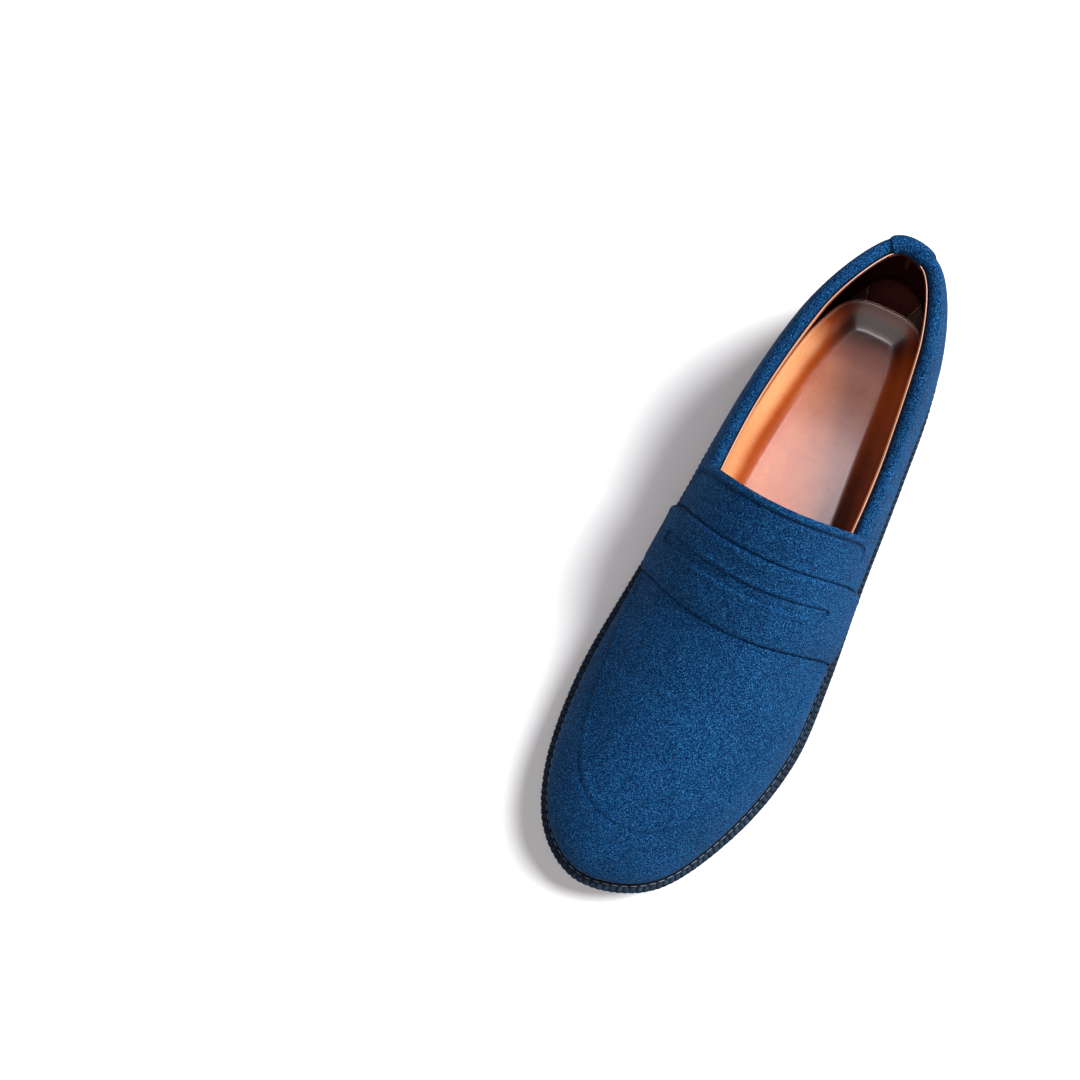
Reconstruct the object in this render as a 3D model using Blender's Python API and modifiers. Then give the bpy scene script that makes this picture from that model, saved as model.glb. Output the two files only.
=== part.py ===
"""Penny loafer, left shoe: upper, linings, insole, welt, outsole and heel, each as its own closed piece.

Metres, +Z up. +X is the medial side and +Y the toe. The origin is on the ground, below the middle of the
shoe. Every piece of the upper follows one last: a surface whose point is given by its side, its station
along the shoe and its share of the way from the feather edge, where the upper meets the sole, to the ridge.
"""

import math

import bmesh
import bpy
import numpy as np
from mathutils import Vector

# The last
LAST_LENGTH = 0.2885
LAST_WIDTH = 0.0895
INSTEP_HEIGHT = 0.083
HEEL_RISE = 0.021
TOE_SPRING = 0.0094
WALL_BULGE = 0.0025
BULGE_HEIGHT = 0.014
HEEL_CENTRE = -0.3466
TOE_CENTRE = 0.2288
BALL = 0.173
GIRTH_SWEEP = 0.0124

# The feather edge: share of the last's width and length, from the heel round by the lateral side.
FEATHER = (
    (0.036, -0.5), (-0.165, -0.471), (-0.305, -0.370), (-0.370, -0.221), (-0.432, -0.044),
    (-0.480, 0.095), (-0.500, 0.220), (-0.410, 0.351), (-0.230, 0.459), (0.070, 0.5),
    (0.311, 0.464), (0.450, 0.375), (0.500, 0.240), (0.484, 0.101), (0.458, -0.048),
    (0.425, -0.221), (0.348, -0.363), (0.190, -0.471),
)
# Height of the ridge as a share of the instep's, against the share of the last's length.
RIDGE = (
    (-0.52, 0.91), (-0.35, 0.96), (-0.20, 1.0), (-0.10, 1.0), (0.0, 0.87), (0.07, 0.76),
    (0.14, 0.66), (0.23, 0.56), (0.35, 0.47), (0.42, 0.41), (0.50, 0.33),
)
# Exponent of the superelliptic section: 2 is round, more is squarer.
SECTION = ((-0.52, 3.0), (-0.2, 2.4), (0.0, 2.08), (0.23, 2.1), (0.38, 2.3), (0.52, 2.5))

# The topline
TOPLINE_BACK = 0.061
TOPLINE_SIDE = 0.0465
TOPLINE_DIP = (-0.42, -0.14)

# Thickness of each layer and the clearance between two of them
CLEARANCE = 0.00035
SUEDE = 0.0013
STIFFENER = 0.0012
LINING = 0.001

# Upper details
LASTING_MARGIN = 0.012
FOOT_HEIGHT = 0.0055
FOLD_RADIUS = 0.0026
FOLD_LEG = 0.004
CORD_RADIUS = 0.0008
APRON_HEIGHT = 0.028
APRON_DROP = 0.006
SEAM_RADIUS = 0.0011
STRAP_REAR = 0.0008
STRAP_FRONT = 0.0302
STRAP_HEM = 0.002
STRAP_FOOT = 0.003
VAMP_REAR = 0.008
TONGUE_REAR = -0.019
TONGUE_SIDE_OVERLAP = 0.0055
SLOT_WIDTH = 0.0032
SLOT_PLACE = 0.41
SLOT_END_DROP = 0.026
TAB_HALF_STATION = 0.16
TAB_OUTSIDE = 0.026
TAB_INSIDE = 0.009
NAIL_REAR = -0.43
NAIL_PAIRS = (-0.37, -0.29)
NAIL_SPREAD = 0.0084
TAB_FOLD_RADIUS = FOLD_RADIUS + 0.0028
HEEL_LINING_STATION = 0.22
SEAM_ALLOWANCE_STATION = 0.03
COUNTER_STATION = 1.2
PUFF_STATION = 2.25

# The bottom
WELT = 0.003
WELT_MARGIN = 0.0058
WAIST_MARGIN = 0.0045
HEEL_MARGIN = 0.0028
OUTSOLE = 0.0055
INSOLE = 0.0025
FOOTBED = 0.003
SOCK = 0.0012
DISH = 0.005
RIB_WIDTH = 0.002
INSOLE_INSET = 0.0054
TOE_CRAMP = 0.005
FOOTBED_INSET = 0.0068
FOOTBED_SHORTFALL = 0.015
SHANK_START = -0.353
SHANK_LENGTH = 0.115
SHANK_WIDTH = 0.012
SHANK = 0.0015
HEEL_BREAST = -0.072
HEEL_TAPER = 0.0005
HEEL_TOP_PIECE = 0.0067
HEEL_LIFT = 0.0065
NAIL_RADIUS = 0.0011
NAIL_HEAD_RADIUS = 0.0024
NAIL_HEAD = 0.0006
GROOVE_WIDTH = 0.003
GROOVE_DEPTH = 0.0014
GROOVE_COUNT = 9
GROOVE_SPAN = (0.015, 0.125)

# Stations: 0 to 1 fan round the heel, 1 to 2 run along the side, 2 to 3 fan round the toe.
HEEL_STEPS = 8
SIDE_STEPS = 9
TOE_STEPS = 8
VAMP_STEPS = 3
APRON_STEPS = 8
WALL_SHARES = (0.26, 0.41, 0.56, 0.7)
PUFF_STEPS = 2
LATERAL, MEDIAL = -1, 1

# Depth below the outer face of the upper, layer by layer
STIFFENER_DEPTH = SUEDE + CLEARANCE
LINING_DEPTH = STIFFENER_DEPTH + STIFFENER + CLEARANCE
FOLDED_LINING_DEPTH = 2 * FOLD_RADIUS + CLEARANCE
OVERLAY_DEPTH = -SUEDE - CLEARANCE
STRAP_DEPTH = 2 * OVERLAY_DEPTH - CLEARANCE / 2
TAB_DEPTH = (FOLDED_LINING_DEPTH + LINING) / 2 - TAB_FOLD_RADIUS + CLEARANCE / 2

# Heights above the feather plane, layer by layer
INSOLE_BOTTOM = LINING_DEPTH + LINING + CLEARANCE
INSOLE_TOP = INSOLE_BOTTOM + INSOLE
FOOTBED_BOTTOM = INSOLE_TOP + NAIL_HEAD + 3 * CLEARANCE
FOOTBED_TOP = FOOTBED_BOTTOM + FOOTBED
WELT_TOP = -CLEARANCE
WELT_BOTTOM = WELT_TOP - WELT
OUTSOLE_TOP = WELT_BOTTOM - CLEARANCE
OUTSOLE_BOTTOM = OUTSOLE_TOP - OUTSOLE
RIB_OUTER = LASTING_MARGIN + LINING_DEPTH + 2 * CLEARANCE
RIB_INNER = RIB_OUTER + RIB_WIDTH


# ---------------------------------------------------------------- the last


def ramp(x, low, high):
    """0 below low, 1 above high and a smooth step between."""
    share = min(max((x - low) / (high - low), 0.0), 1.0)
    return share * share * (3 - 2 * share)


def profile(points):
    """A smooth function through the points."""
    xs, ys = np.array(points).T
    slopes = np.gradient(ys, xs)

    def value(x):
        x = float(np.clip(x, xs[0], xs[-1]))
        i = min(int(np.searchsorted(xs, x, side="right")) - 1, len(xs) - 2)
        width = xs[i + 1] - xs[i]
        t = (x - xs[i]) / width
        rise = t * t * (3 - 2 * t) * (ys[i + 1] - ys[i])
        return ys[i] + rise + width * t * (1 - t) * ((1 - t) * slopes[i] - t * slopes[i + 1])

    return value


def closed_curve(points, steps):
    """Points on a smooth closed curve through the given ones."""
    here = np.array(points)
    before, after, second = (np.roll(here, shift, 0) for shift in (1, -1, -2))
    t = np.linspace(0, 1, steps, endpoint=False)[:, None, None]
    curve = here + t / 2 * (after - before)
    curve = curve + t**2 / 2 * (2 * before - 5 * here + 4 * after - second)
    curve = curve + t**3 / 2 * (3 * here - before - 3 * after + second)
    return curve.transpose(1, 0, 2).reshape(-1, 2)


def y_at(share):
    """The place along the shoe of a share of the last's length."""
    return share * LAST_LENGTH - (WELT_MARGIN - HEEL_MARGIN) / 2


def share_at(y):
    return (y - y_at(0)) / LAST_LENGTH


OUTLINE = closed_curve(FEATHER, 16) * (LAST_WIDTH, LAST_LENGTH) + (0, y_at(0))
Y_HEEL = y_at(HEEL_CENTRE)
Y_TOE = y_at(TOE_CENTRE)
X_HEEL = FEATHER[0][0] * LAST_WIDTH * 0.7
X_TOE = 0.0
CENTRE_SEAM_STATION = CLEARANCE / (math.pi * abs(Y_HEEL - OUTLINE[0][1]))
ridge_share = profile(RIDGE)
section_exponent = profile(SECTION)


def reach(centre, direction):
    """Distance from a centre inside the feather edge to the edge, along a direction."""
    start = OUTLINE - centre
    edge = np.roll(OUTLINE, -1, 0) - OUTLINE
    across = direction[0] * edge[:, 1] - direction[1] * edge[:, 0]
    across[across == 0] = 1e-12
    distance = (start[:, 0] * edge[:, 1] - start[:, 1] * edge[:, 0]) / across
    along = (start[:, 0] * direction[1] - start[:, 1] * direction[0]) / across
    return distance[(along >= -1e-9) & (along < 1 + 1e-9) & (distance > 0)].max()


def feather_z(y):
    """Height of the feather plane above the ground."""
    heel = HEEL_RISE * ramp(y_at(BALL) - y, 0, 0.6 * LAST_LENGTH)
    toe = TOE_SPRING * max((share_at(y) - 0.212) / 0.31, 0) ** 2
    return heel + toe - OUTSOLE_BOTTOM


def ridge_height(y):
    return INSTEP_HEIGHT * ridge_share(share_at(y))


def swept(y, rise):
    """Girth lines lean back towards the feather edge, most of all at the instep."""
    window = ramp(y, Y_HEEL, TONGUE_REAR) * (1 - ramp(y, STRAP_FRONT, Y_TOE))
    return y - GIRTH_SWEEP * window * math.cos(math.pi / 2 * rise) ** 2


def station_at(y):
    """Station whose girth line crosses the ridge at y."""
    return 1 + (y - Y_HEEL) / (Y_TOE - Y_HEEL)


def ray(side, station, rise=1.0):
    """Centre, direction and length of the line from the middle of the shoe to the feather edge."""
    if station < 1:
        angle = math.pi / 2 * station
        centre = np.array((X_HEEL, Y_HEEL))
        direction = np.array((side * math.sin(angle), -math.cos(angle)))
    elif station <= 2:
        y = swept(Y_HEEL + (Y_TOE - Y_HEEL) * (station - 1), rise)
        along = (y - Y_HEEL) / (Y_TOE - Y_HEEL)
        centre = np.array((X_HEEL + (X_TOE - X_HEEL) * along, y))
        direction = np.array((side, 0.0))
    else:
        angle = math.pi / 2 * (station - 2)
        centre = np.array((X_TOE, Y_TOE))
        direction = np.array((side * math.cos(angle), math.sin(angle)))
    return centre, direction, reach(centre, direction)


def last_point(side, station, rise):
    centre, direction, length = ray(side, station, rise)
    power = 2 / section_exponent(share_at(centre[1] + 0.7 * direction[1] * length))
    spread = math.cos(math.pi / 2 * rise) ** power if rise < 1 else 0.0
    height = ridge_height(centre[1] + direction[1] * length * spread) * math.sin(math.pi / 2 * rise) ** power
    bulge = WALL_BULGE * spread * height / BULGE_HEIGHT * math.exp(1 - height / BULGE_HEIGHT)
    x, y = centre + direction * (length * spread + bulge)
    return Vector((x, y, feather_z(y) + height))


def rise_at(side, station, height):
    """Rise at which the last is this high above its feather plane."""
    low, high = 0.0, 1.0
    for _ in range(24):
        middle = (low + high) / 2
        point = last_point(side, station, middle)
        if point.z - feather_z(point.y) < height:
            low = middle
        else:
            high = middle
    return (low + high) / 2


def axes(side, station, rise):
    """The outward normal and the direction up the last at a point."""
    step = 0.004
    low, high = min(max(rise - step, 0.001), 0.988), min(rise + step, 0.996)
    up = last_point(side, station, high) - last_point(side, station, low)
    before, after = max(station - step, 0), min(station + step, 3)
    inside = min(rise, 0.99)
    along = last_point(side, after, inside) - last_point(side, before, inside)
    normal = along.cross(up) * side
    if rise > 0.99:
        normal.x = 0
    return normal.normalized(), up.normalized()


def skin(side, station, rise, depth):
    """A point at a depth below the last's surface."""
    normal, _ = axes(side, station, rise)
    return last_point(side, station, rise) - depth * normal


def topline(y):
    """Height of the topline above the feather plane."""
    low, high = (y_at(share) for share in TOPLINE_DIP)
    return TOPLINE_BACK - (TOPLINE_BACK - TOPLINE_SIDE) * ramp(y, low, high)


def topline_height(side, station):
    centre, direction, length = ray(side, station)
    return topline((centre + 0.8 * direction * length)[1])


def topline_rise(side, station, drop=0.0):
    """Rise at a drop below the topline."""
    return rise_at(side, station, topline_height(side, station) - drop)


def apron_rise(side, station):
    """Rise of the seam between vamp and apron."""
    y = ray(side, station)[0][1]
    return rise_at(side, station, APRON_HEIGHT - APRON_DROP * (1 - ramp(y, STRAP_FRONT, Y_TOE)))


def rise_beside(side, station, rise, distance):
    """The rise at a distance further up the surface."""
    step = 0.01
    pace = (last_point(side, station, rise + step) - last_point(side, station, rise)).length / step
    return rise + distance / pace


# ---------------------------------------------------------------- columns of points


def stations(start, end):
    """Both ends and the common stations between them."""
    common = [i / HEEL_STEPS for i in range(HEEL_STEPS)]
    common += [1 + i / SIDE_STEPS for i in range(SIDE_STEPS)]
    common += [2 + i / TOE_STEPS for i in range(TOE_STEPS + 1)]
    low, high = min(start, end), max(start, end)
    inner = [s for s in common if low + 0.01 < s < high - 0.01]
    return [low, *inner, high] if start < end else [high, *reversed(inner), low]


def flange(side, station, depth):
    """The lasting margin under the insole, from its inner edge out to the feather edge."""
    centre, direction, length = ray(side, station, 0.0)
    points = [centre + direction * (length - depth - inward) for inward in (LASTING_MARGIN, 0)]
    return [Vector((x, y, feather_z(y) + depth)) for x, y in points]


def even_steps(start, end, steps):
    return [start + (end - start) * i / steps for i in range(steps + 1)]


def vamp_rises(side, station, end):
    """Rows from the foot of the wall up to the apron's seam, the last of them moved to end."""
    rows = even_steps(rise_at(side, station, FOOT_HEIGHT), apron_rise(side, station), VAMP_STEPS)
    return rows[:-1] + [end]


def apron_rises(side, station, start):
    """Rows from the apron's seam up to the ridge, the first of them moved to start."""
    return [start] + even_steps(apron_rise(side, station), 1, APRON_STEPS)[1:]


def forepart_rises(side, station):
    seam = apron_rise(side, station)
    return vamp_rises(side, station, seam) + apron_rises(side, station, seam)[1:]


def quarter_rises(side, station):
    """Rows from the foot of the wall to the height of the stiffener's top."""
    shares = [rise_at(side, station, share * topline_height(side, station)) for share in WALL_SHARES]
    return [rise_at(side, station, FOOT_HEIGHT), *shares]


def skins(side, station, rises, depth):
    return [skin(side, station, rise, depth) for rise in rises]


def folded_edge(side, station, rise, depth, radius, leg):
    """A turn over the top edge: a half circle inwards, then a leg down the inside."""
    normal, up = axes(side, station, rise)
    start = last_point(side, station, rise) - depth * normal
    centre = start - radius * normal
    turn = [math.pi * i / 6 for i in range(1, 7)]
    arc = [centre + radius * (math.cos(a) * normal + math.sin(a) * up) for a in turn]
    return arc + [arc[-1] - leg * up]


def horseshoe(start, column):
    """Columns from the lateral side round the toe to the medial side."""
    lateral = [column(LATERAL, s) for s in stations(start, 3)]
    medial = [column(MEDIAL, s) for s in stations(3, start)]
    return lateral + medial[1:]


def round_heel(end, column):
    """Columns from the lateral side round the heel to the medial side."""
    lateral = [column(LATERAL, s) for s in stations(end, 0)]
    medial = [column(MEDIAL, s) for s in stations(0, end)]
    return lateral + medial[1:]


def band(rear, front, column):
    """Columns across the instep, each from one side over the ridge to the other."""
    places = stations(station_at(rear), station_at(front))
    return [column(LATERAL, s) + column(MEDIAL, s)[-2::-1] for s in places]


# ---------------------------------------------------------------- meshes and objects


def sheet(columns):
    """An open surface over a grid of points, whose faces look away from the shoe's middle."""
    rows = len(columns[0])
    mesh = bmesh.new()
    bmesh.ops.create_grid(mesh, x_segments=rows - 1, y_segments=len(columns) - 1, size=1)
    mesh.verts.ensure_lookup_table()
    for i, column in enumerate(columns):
        for j, point in enumerate(column):
            mesh.verts[i * rows + j].co = point
    bmesh.ops.remove_doubles(mesh, verts=mesh.verts, dist=1e-5)
    mesh.normal_update()
    facing = 0.0
    for face in mesh.faces:
        centre = face.calc_center_median()
        heart = Vector((0, centre.y * 0.9, feather_z(centre.y) + 0.3 * ridge_height(centre.y)))
        facing += face.calc_area() * face.normal.dot(centre - heart)
    if facing < 0:
        bmesh.ops.reverse_faces(mesh, faces=mesh.faces)
    return mesh


def finish(name, mesh, material, collection=None):
    """An object from a bmesh, in the shoe's collection unless another is given."""
    data = bpy.data.meshes.new(name)
    mesh.to_mesh(data)
    mesh.free()
    data.shade_smooth()
    data.set_sharp_from_angle(angle=math.radians(40))
    piece = bpy.data.objects.new(name, data)
    if material:
        data.materials.append(material)
    (collection or SHOE).objects.link(piece)
    return piece


def shell(name, columns, thickness, material, collection=None):
    """A sheet thickened inwards."""
    piece = finish(name, sheet(columns), material, collection)
    solid = piece.modifiers.new("Thickness", "SOLIDIFY")
    solid.thickness = thickness
    solid.offset = -1
    solid.use_even_offset = True
    return piece


def thicken_down(mesh, bottom):
    """Closes an open sheet into a solid whose underside has the height given by bottom(x, y)."""
    made = bmesh.ops.extrude_face_region(mesh, geom=mesh.faces[:])
    for vertex in (v for v in made["geom"] if isinstance(v, bmesh.types.BMVert)):
        vertex.co.z = bottom(vertex.co.y)
    bmesh.ops.recalc_face_normals(mesh, faces=mesh.faces)


def above_feather(height):
    """A height function that keeps to the feather plane."""
    return lambda y: feather_z(y) + height


def plate_columns(end, margin, top, dish=0.0, shortfall=0.0):
    """Columns from the edge to the middle, for a plate from the heel as far as a station."""
    shares = (1, 0.93, 0.8, 0.5, 0) if dish else (1, 0.75, 0.5, 0.25, 0)

    def column(side, station):
        centre, direction, length = ray(side, station, 0.0)
        out = length + margin(centre[1]) - shortfall * max(-direction[1], 0.0) ** 3
        points = [centre + direction * out * share for share in shares]
        depth = dish * (1 - 0.9 * ramp(centre[1], y_at(-0.2), y_at(0.1)))
        return [Vector((x, y, top(y) + depth * share**4)) for (x, y), share in zip(points, shares)]

    return round_heel(end, column)


def plate(name, end, margin, top, bottom, material, dish=0.0, shortfall=0.0):
    """A layer of the bottom. The underside is flat across the shoe."""
    mesh = sheet(plate_columns(end, margin, top, dish, shortfall))
    if dish:
        thickness = top(0) - bottom(0)
        made = bmesh.ops.extrude_face_region(mesh, geom=mesh.faces[:])
        for vertex in (v for v in made["geom"] if isinstance(v, bmesh.types.BMVert)):
            vertex.co.z -= thickness
        bmesh.ops.recalc_face_normals(mesh, faces=mesh.faces)
    else:
        thicken_down(mesh, bottom)
    return finish(name, mesh, material)


def ring(name, outer, inner, top, bottom, material):
    """A band round the whole shoe, between two distances from the feather edge."""

    def column(side, station):
        centre, direction, length = ray(side, station, 0.0)
        edges = [centre + direction * (length + margin(centre[1])) for margin in (outer, inner)]
        return [Vector((x, y, top(y))) for x, y in edges]

    mesh = sheet(round_heel(3, column))
    thicken_down(mesh, bottom)
    return finish(name, mesh, material)


def tube(name, points, radius, material):
    """A cord along the points."""
    curve = bpy.data.curves.new(name, "CURVE")
    curve.dimensions = "3D"
    curve.bevel_depth = radius
    curve.bevel_resolution = 1
    curve.use_fill_caps = True
    spline = curve.splines.new("POLY")
    spline.points.add(len(points) - 1)
    for knot, point in zip(spline.points, points):
        knot.co = (*point, 1)
    curve.materials.append(material)
    piece = bpy.data.objects.new(name, curve)
    SHOE.objects.link(piece)
    return piece


def cut(piece, cutter):
    cutter.hide_render = True
    cutter.display_type = "WIRE"
    boolean = piece.modifiers.new("Cut by " + cutter.name, "BOOLEAN")
    boolean.operation = "DIFFERENCE"
    boolean.object = cutter


def cylinder(name, radius, bottom, top, x, y, material, collection=None):
    mesh = bmesh.new()
    bmesh.ops.create_cone(mesh, cap_ends=True, segments=10, radius1=radius, radius2=radius, depth=top - bottom)
    bmesh.ops.translate(mesh, verts=mesh.verts, vec=(x, y, (top + bottom) / 2))
    return finish(name, mesh, material, collection)


def box(name, size, centre, collection):
    mesh = bmesh.new()
    bmesh.ops.create_cube(mesh, size=1)
    bmesh.ops.scale(mesh, verts=mesh.verts, vec=size)
    bmesh.ops.translate(mesh, verts=mesh.verts, vec=centre)
    return finish(name, mesh, None, collection)


def new_material(name, colour, roughness, metallic=0.0):
    material = bpy.data.materials.new(name)
    material.use_nodes = True
    shader = material.node_tree.nodes["Principled BSDF"]
    shader.inputs["Base Color"].default_value = (*colour, 1)
    shader.inputs["Roughness"].default_value = roughness
    shader.inputs["Metallic"].default_value = metallic
    return material


# ---------------------------------------------------------------- the upper


def make_vamp(suede):
    def column(side, station):
        end = rise_beside(side, station, apron_rise(side, station), -SEAM_RADIUS - 2 * CLEARANCE)
        return flange(side, station, 0) + skins(side, station, vamp_rises(side, station, end), 0)

    shell("vamp", horseshoe(station_at(VAMP_REAR), column), SUEDE, suede)


def make_apron(suede):
    def column(side, station):
        start = rise_beside(side, station, apron_rise(side, station), SEAM_RADIUS + 2 * CLEARANCE)
        return skins(side, station, apron_rises(side, station, start), 0)

    shell("apron", horseshoe(station_at(VAMP_REAR), column), SUEDE, suede)


def make_apron_seam(suede):
    def point(side, station):
        return skin(side, station, apron_rise(side, station), SEAM_RADIUS / 4)

    tube("apron_seam", horseshoe(station_at(STRAP_FRONT + CLEARANCE), point), SEAM_RADIUS, suede)


def make_quarters(suede):
    front = station_at(VAMP_REAR - CLEARANCE)
    for name, side in (("quarter_lateral", LATERAL), ("quarter_medial", MEDIAL)):
        columns = []
        for station in [CENTRE_SEAM_STATION, *stations(SEAM_ALLOWANCE_STATION, front)]:
            end = topline_rise(side, station, FOLD_RADIUS)
            rows = quarter_rises(side, station)
            between = (rows[-1] + end) / 2
            fold = folded_edge(side, station, end, 0, FOLD_RADIUS, FOLD_LEG)
            columns.append(
                flange(side, station, 0) + skins(side, station, [*rows, between, end], 0) + fold
            )
        shell(name, columns, SUEDE, suede)


def make_topline_cord(thread):
    def point(side, station):
        return skin(side, station, topline_rise(side, station, FOLD_RADIUS), FOLD_RADIUS)

    tube("topline_cord", round_heel(station_at(VAMP_REAR - CLEARANCE), point), CORD_RADIUS, thread)


def make_tongue(suede):
    def column(side, station):
        start = topline_rise(side, station, TONGUE_SIDE_OVERLAP)
        return skins(side, station, even_steps(start, 1, APRON_STEPS), OVERLAY_DEPTH)

    shell("tongue", band(TONGUE_REAR, STRAP_REAR + STRAP_HEM, column), SUEDE, suede)


def strap_column(depth):
    def column(side, station):
        rows = [rise_at(side, station, STRAP_FOOT), *forepart_rises(side, station)]
        return skins(side, station, rows, depth)

    return column


def make_strap(suede):
    strap = shell("strap", band(STRAP_REAR, STRAP_FRONT, strap_column(STRAP_DEPTH)), SUEDE, suede)
    middle = STRAP_REAR + SLOT_PLACE * (STRAP_FRONT - STRAP_REAR)

    def column(side, station):
        y = ray(side, station)[0][1]
        start = rise_at(side, station, ridge_height(y) - SLOT_END_DROP)
        return skins(side, station, even_steps(start, 1, APRON_STEPS), 4 * STRAP_DEPTH)

    lips = [station_at(middle + offset) for offset in (-SLOT_WIDTH / 2, SLOT_WIDTH / 2)]
    columns = [column(LATERAL, s) + column(MEDIAL, s)[-2::-1] for s in lips]
    cut(strap, shell("slot_cutter", columns, -6 * STRAP_DEPTH, None, CUTTERS))


def make_strap_backing(suede):
    rear = STRAP_REAR + STRAP_HEM + CLEARANCE
    columns = band(rear, STRAP_FRONT - STRAP_HEM, strap_column(OVERLAY_DEPTH))
    shell("strap_backing", columns, SUEDE, suede)


def make_heel_tab(suede):
    def column(side, station):
        start = topline_rise(side, station, TAB_OUTSIDE)
        end = topline_rise(side, station, FOLD_RADIUS - CLEARANCE)
        fold = folded_edge(side, station, end, TAB_DEPTH, TAB_FOLD_RADIUS, TAB_INSIDE)
        return skins(side, station, even_steps(start, end, 3), TAB_DEPTH) + fold

    shell("heel_tab", round_heel(TAB_HALF_STATION, column), SUEDE, suede)


# ---------------------------------------------------------------- linings and stiffeners


def lining_column(side, station):
    """Up from the lasting margin, then inwards to pass behind the turned topline."""
    wall = skins(side, station, quarter_rises(side, station), LINING_DEPTH)
    drops = (1.1 * (FOLD_RADIUS + FOLD_LEG), FOLD_RADIUS / 2)
    behind = skins(side, station, [topline_rise(side, station, drop) for drop in drops], FOLDED_LINING_DEPTH)
    return flange(side, station, LINING_DEPTH) + wall + behind


def make_quarter_linings(leather):
    front = station_at(VAMP_REAR - CLEARANCE)
    for name, side in (("quarter_lining_lateral", LATERAL), ("quarter_lining_medial", MEDIAL)):
        start = HEEL_LINING_STATION + 6 * CENTRE_SEAM_STATION
        shell(name, [lining_column(side, s) for s in stations(start, front)], LINING, leather)


def make_heel_lining(leather):
    shell("heel_lining", round_heel(HEEL_LINING_STATION, lining_column), LINING, leather)


def make_vamp_lining(textile):
    def column(side, station):
        rows = skins(side, station, forepart_rises(side, station), LINING_DEPTH)
        return flange(side, station, LINING_DEPTH) + rows

    shell("vamp_lining", horseshoe(station_at(VAMP_REAR), column), LINING, textile)


def make_tongue_lining(leather):
    def column(side, station):
        start = topline_rise(side, station, -2 * CLEARANCE)
        return skins(side, station, even_steps(start, 1, APRON_STEPS), 0)

    shell("tongue_lining", band(TONGUE_REAR + STRAP_HEM, VAMP_REAR - CLEARANCE, column), LINING, leather)


def make_toe_puff(board):
    def column(side, station):
        rows = forepart_rises(side, station)[: VAMP_STEPS + PUFF_STEPS + 1]
        return skins(side, station, rows, STIFFENER_DEPTH)

    shell("toe_puff", horseshoe(PUFF_STATION, column), STIFFENER, board)


def make_heel_counter(board):
    def column(side, station):
        return skins(side, station, quarter_rises(side, station), STIFFENER_DEPTH)

    shell("heel_counter", round_heel(COUNTER_STATION, column), STIFFENER, board)


# ---------------------------------------------------------------- the bottom


def edge_margin(y):
    """How far the welt stands out from the feather edge."""
    waist = (WAIST_MARGIN - HEEL_MARGIN) * ramp(y, y_at(-0.5), y_at(-0.25))
    return HEEL_MARGIN + waist + (WELT_MARGIN - WAIST_MARGIN) * ramp(y, y_at(-0.1), y_at(0.15))


def inset(distance):
    return lambda y: -distance


def make_insole(board):
    insole = plate(
        "insole", 3, inset(INSOLE_INSET), above_feather(INSOLE_TOP), above_feather(INSOLE_BOTTOM), board
    )
    top, bottom = WELT_BOTTOM + CLEARANCE, INSOLE_BOTTOM - CLEARANCE
    ring(
        "insole_rib", inset(RIB_OUTER), inset(RIB_INNER), above_feather(bottom), above_feather(top), board
    )
    return insole


def strip_mesh(half_width, start, end, top, bottom):
    """A narrow plate along the middle of the shoe."""
    places = np.linspace(start, end, 12)
    columns = [[Vector((X_HEEL + dx, y, top(y))) for dx in (-half_width, half_width)] for y in places]
    mesh = sheet(columns)
    thicken_down(mesh, bottom)
    return mesh


def make_shank_and_cork(steel, cork):
    top = INSOLE_BOTTOM - CLEARANCE
    start = y_at(SHANK_START)
    strip = strip_mesh(
        SHANK_WIDTH / 2, start, start + SHANK_LENGTH, above_feather(top), above_feather(top - SHANK)
    )
    finish("shank", strip, steel)
    filler = plate(
        "cork_filler", 3, inset(RIB_INNER + CLEARANCE), above_feather(top),
        above_feather(OUTSOLE_TOP + CLEARANCE), cork,
    )
    recess = strip_mesh(
        SHANK_WIDTH / 2 + CLEARANCE, start - CLEARANCE, start + SHANK_LENGTH + CLEARANCE,
        above_feather(top + SHANK), above_feather(top - SHANK - CLEARANCE),
    )
    cut(filler, finish("shank_recess_cutter", recess, None, CUTTERS))
    return filler


def make_footbed(foam, leather):
    """A foam bed and its sock, which stop short of the lining at the back of the heel."""

    def margin(y):
        return -FOOTBED_INSET - TOE_CRAMP * ramp(y, y_at(0), Y_TOE)

    sock_bottom = FOOTBED_TOP + CLEARANCE
    layers = (
        ("footbed_foam", FOOTBED_TOP, FOOTBED_BOTTOM, foam),
        ("sock_liner", sock_bottom + SOCK, sock_bottom, leather),
    )
    for name, top, bottom, material in layers:
        plate(
            name, 3, margin, above_feather(top), above_feather(bottom), material, DISH, FOOTBED_SHORTFALL
        )


def make_welt(rubber):
    outer, inner = edge_margin, inset(RIB_OUTER - CLEARANCE - 0.003)
    ring("welt", outer, inner, above_feather(WELT_TOP), above_feather(WELT_BOTTOM), rubber)


def make_outsole(rubber):
    outsole = plate(
        "outsole", 3, edge_margin, above_feather(OUTSOLE_TOP), above_feather(OUTSOLE_BOTTOM), rubber
    )
    for i, share in enumerate(np.linspace(0, 1, GROOVE_COUNT)):
        y = GROOVE_SPAN[0] + share * (GROOVE_SPAN[1] - GROOVE_SPAN[0])
        depth = feather_z(y) + OUTSOLE_BOTTOM + GROOVE_DEPTH
        size = (LAST_WIDTH * 2, GROOVE_WIDTH, 2 * GROOVE_DEPTH)
        cut(outsole, box(f"groove_cutter_{i + 1}", size, (0, y, depth - GROOVE_DEPTH), CUTTERS))
    return outsole


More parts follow.
